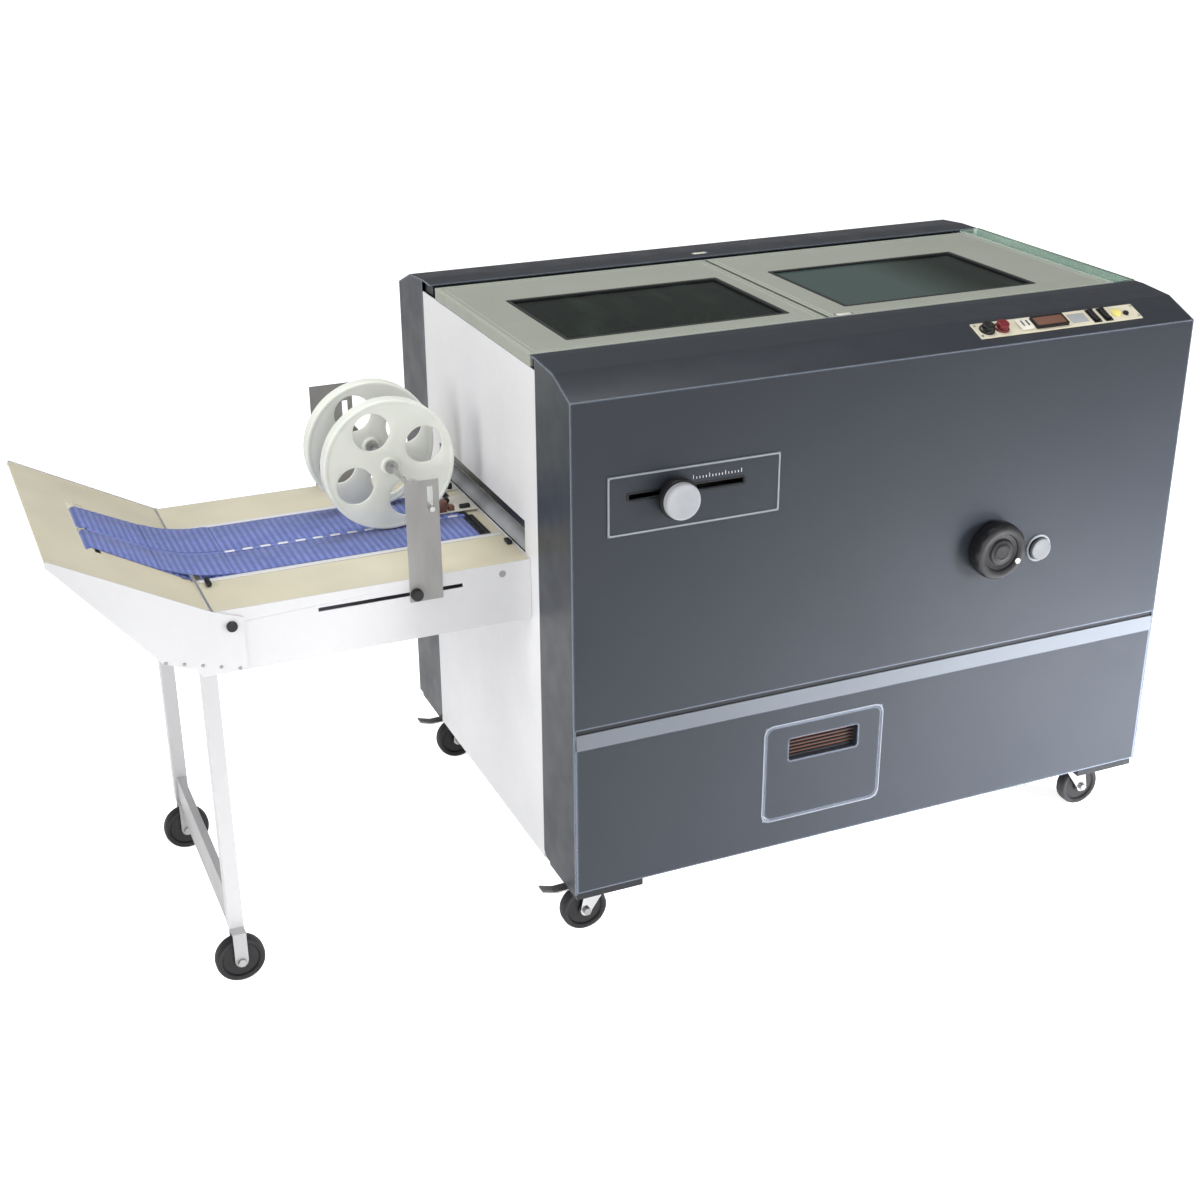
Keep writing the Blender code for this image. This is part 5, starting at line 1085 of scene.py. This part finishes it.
def make_stage(stage):
    """Floor, world, four soft lamps and the camera."""
    make_floor(stage)
    make_world(stage)
    whole = math.pi
    for name, place, target, size, power, colour, spread, mirrored in (
        ("key_lamp", (-4.0, -0.5, 2.2), (0.0, 0.3, 0.5), 2.4, stage.key, (1, 1, 0.99), whole, False),
        ("side_lamp", (1.85, -1.25, 0.55), (1.0, -0.1, 0.0), 0.8, stage.side, (0.98, 0.98, 1),
         math.radians(70), False),
        ("front_lamp", (-0.7, -4.5, 1.4), (0.0, 0.0, 0.45), 2.4, stage.front, (1, 1, 1), whole, True),
        ("top_lamp", (0.3, 0.9, 4.2), (0.3, 0.3, 0.9), 2.6, stage.top, (1, 1, 1), whole, True),
    ):
        place, target = Vector(CABINET) + Vector(place), Vector(CABINET) + Vector(target)
        data = bpy.data.lights.new(name, "AREA")
        data.shape = "DISK"
        data.size = size
        data.energy = power
        data.color = colour
        data.spread = spread
        lamp = bpy.data.objects.new(name, data)
        lamp.location = place
        lamp.rotation_euler = (target - place).to_track_quat("-Z", "Y").to_euler()
        lamp.visible_glossy = mirrored
        bpy.context.scene.collection.objects.link(lamp)

    data = bpy.data.cameras.new("camera")
    data.lens = 51.97
    data.sensor_width = 36
    data.clip_end = 100
    camera = bpy.data.objects.new("camera", data)
    camera.location = Vector(CABINET) + Vector((-0.84185, -2.04948, 1.59188))
    yaw, pitch, roll = math.radians(23.352), math.radians(24.056), math.radians(-0.275)
    turn = Matrix.Rotation(-yaw, 3, "Z") @ Matrix.Rotation(math.pi / 2 - pitch, 3, "X")
    camera.rotation_euler = (turn @ Matrix.Rotation(roll, 3, "Z")).to_euler()
    bpy.context.scene.collection.objects.link(camera)
    bpy.context.scene.camera = camera
    bpy.context.scene.view_settings.view_transform = "Standard"


# Settings


def colour(name, description, default):
    return FloatVectorProperty(name=name, description=description, subtype="COLOR", default=default, min=0, max=1)


def number(name, description, default, **limits):
    return FloatProperty(name=name, description=description, default=default, **limits)


class FolderPaint(PropertyGroup):
    cover: colour("Cover", "Paint of the covers", (0.030, 0.035, 0.044))
    panel: colour("End panel", "Paint of the end panels and the table", (0.72, 0.72, 0.735))
    lid: colour("Lid", "Plastic of the lid frames", (0.33, 0.35, 0.30))
    strip: colour("Ledge", "Paint of the ledge strip", (0.135, 0.15, 0.172))
    cream: colour("Table top", "Paint of the table top and the ramp", (0.68, 0.64, 0.50))
    belt: colour("Belt", "Colour of the delivery belts", (0.15, 0.205, 0.56))
    disc: colour("Disc", "Plastic of the press discs", (0.84, 0.85, 0.78))
    glass: colour("Pane", "Tint of the lid panes", (0.06, 0.09, 0.07))


class FolderSizes(PropertyGroup):
    rib_pitch: number("Rib pitch", "Distance between two ribs of a belt", 0.0105, unit="LENGTH", min=0.004, max=0.05)


class FolderStage(PropertyGroup):
    key: number("Key", "Power of the lamp at the left", 92, unit="POWER")
    side: number("Side", "Power of the low lamp at the right", 24, unit="POWER")
    front: number("Front", "Power of the lamp at the front", 64, unit="POWER")
    top: number("Top", "Power of the lamp above", 78, unit="POWER")
    fill: number("Fill", "Strength of the even light from all round", 0.38)
    mirrored: number("Mirrored", "Brightness of the room in glossy surfaces", 0.22)
    floor_light: number("Floor light", "Light that the floor throws back", 0.30)
    floor_glow: number("Floor glow", "Light that the floor adds for the camera", 0.80)


class PieceOperator:
    """Runs its makers in order, each with the group of settings that stands behind it, if one does.

    A maker that can't finish raises its own error.
    """

    bl_options = {"REGISTER", "UNDO"}

    def execute(self, context):
        for make, *groups in self.makers:
            make(*(getattr(context.scene, group) for group in groups))
        return {"FINISHED"}


class FOLDER_OT_paint(PieceOperator, Operator):
    """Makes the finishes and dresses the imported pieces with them"""

    bl_idname = "folder.paint"
    bl_label = "Paint the machine"
    makers = ((make_materials, "folder_paint"), (dress_nodes,))


class FOLDER_OT_slider(PieceOperator, Operator):
    """Makes the format slider's outline, marks and knob"""

    bl_idname = "folder.slider"
    bl_label = "Format slider"
    makers = ((make_slider,),)


class FOLDER_OT_hand_wheel(PieceOperator, Operator):
    """Makes the hand wheel and the release button"""

    bl_idname = "folder.hand_wheel"
    bl_label = "Hand wheel"
    makers = ((make_hand_wheel,),)


class FOLDER_OT_hatch(PieceOperator, Operator):
    """Makes the hatch with its grip"""

    bl_idname = "folder.hatch"
    bl_label = "Hatch"
    makers = ((make_hatch,),)


class FOLDER_OT_controls(PieceOperator, Operator):
    """Makes the keys, display and lamp"""

    bl_idname = "folder.controls"
    bl_label = "Controls"
    makers = ((make_controls,),)


class FOLDER_OT_lids(PieceOperator, Operator):
    """Makes the lid trim and what shows under the panes"""

    bl_idname = "folder.lids"
    bl_label = "Lids and inside"
    makers = ((make_lid_trim,), (make_inside,))


class FOLDER_OT_table(PieceOperator, Operator):
    """Makes the belts, the table's trim and the press discs"""

    bl_idname = "folder.table"
    bl_label = "Delivery table"
    makers = ((make_belts, "folder_sizes"), (make_table_trim,), (make_discs,))


class FOLDER_OT_wheels(PieceOperator, Operator):
    """Makes the castors' and the legs' wheels"""

    bl_idname = "folder.wheels"
    bl_label = "Wheels"
    makers = ((make_wheels,),)


class FOLDER_OT_stage(PieceOperator, Operator):
    """Makes the floor, the light and the camera"""

    bl_idname = "folder.stage"
    bl_label = "Studio"
    makers = ((make_stage, "folder_stage"),)


OPERATORS = (FOLDER_OT_paint, FOLDER_OT_slider, FOLDER_OT_hand_wheel, FOLDER_OT_hatch, FOLDER_OT_controls,
             FOLDER_OT_lids, FOLDER_OT_table, FOLDER_OT_wheels, FOLDER_OT_stage)


class FOLDER_PT_panel(Panel):
    """Lists the makers and their settings"""

    bl_label = "Booklet folder"
    bl_idname = "FOLDER_PT_panel"
    bl_space_type = "VIEW_3D"
    bl_region_type = "UI"
    bl_category = "Folder"

    def draw(self, context):
        for group in (context.scene.folder_paint, context.scene.folder_sizes, context.scene.folder_stage):
            column = self.layout.column(align=True)
            for name in group.__annotations__:
                column.prop(group, name)
        for operator in OPERATORS:
            self.layout.operator(operator.bl_idname)


CLASSES = (FolderPaint, FolderSizes, FolderStage, *OPERATORS, FOLDER_PT_panel)


def register():
    for cls in CLASSES:
        bpy.utils.register_class(cls)
    bpy.types.Scene.folder_paint = PointerProperty(type=FolderPaint)
    bpy.types.Scene.folder_sizes = PointerProperty(type=FolderSizes)
    bpy.types.Scene.folder_stage = PointerProperty(type=FolderStage)


def unregister():
    del bpy.types.Scene.folder_stage
    del bpy.types.Scene.folder_sizes
    del bpy.types.Scene.folder_paint
    for cls in reversed(CLASSES):
        bpy.utils.unregister_class(cls)


def main():
    register()
    bpy.ops.folder.paint()
    bpy.ops.folder.slider()
    bpy.ops.folder.hand_wheel()
    bpy.ops.folder.hatch()
    bpy.ops.folder.controls()
    bpy.ops.folder.lids()
    bpy.ops.folder.table()
    bpy.ops.folder.wheels()
    bpy.ops.folder.stage()
    bpy.context.view_layer.update()


if __name__ == "__main__":
    main()
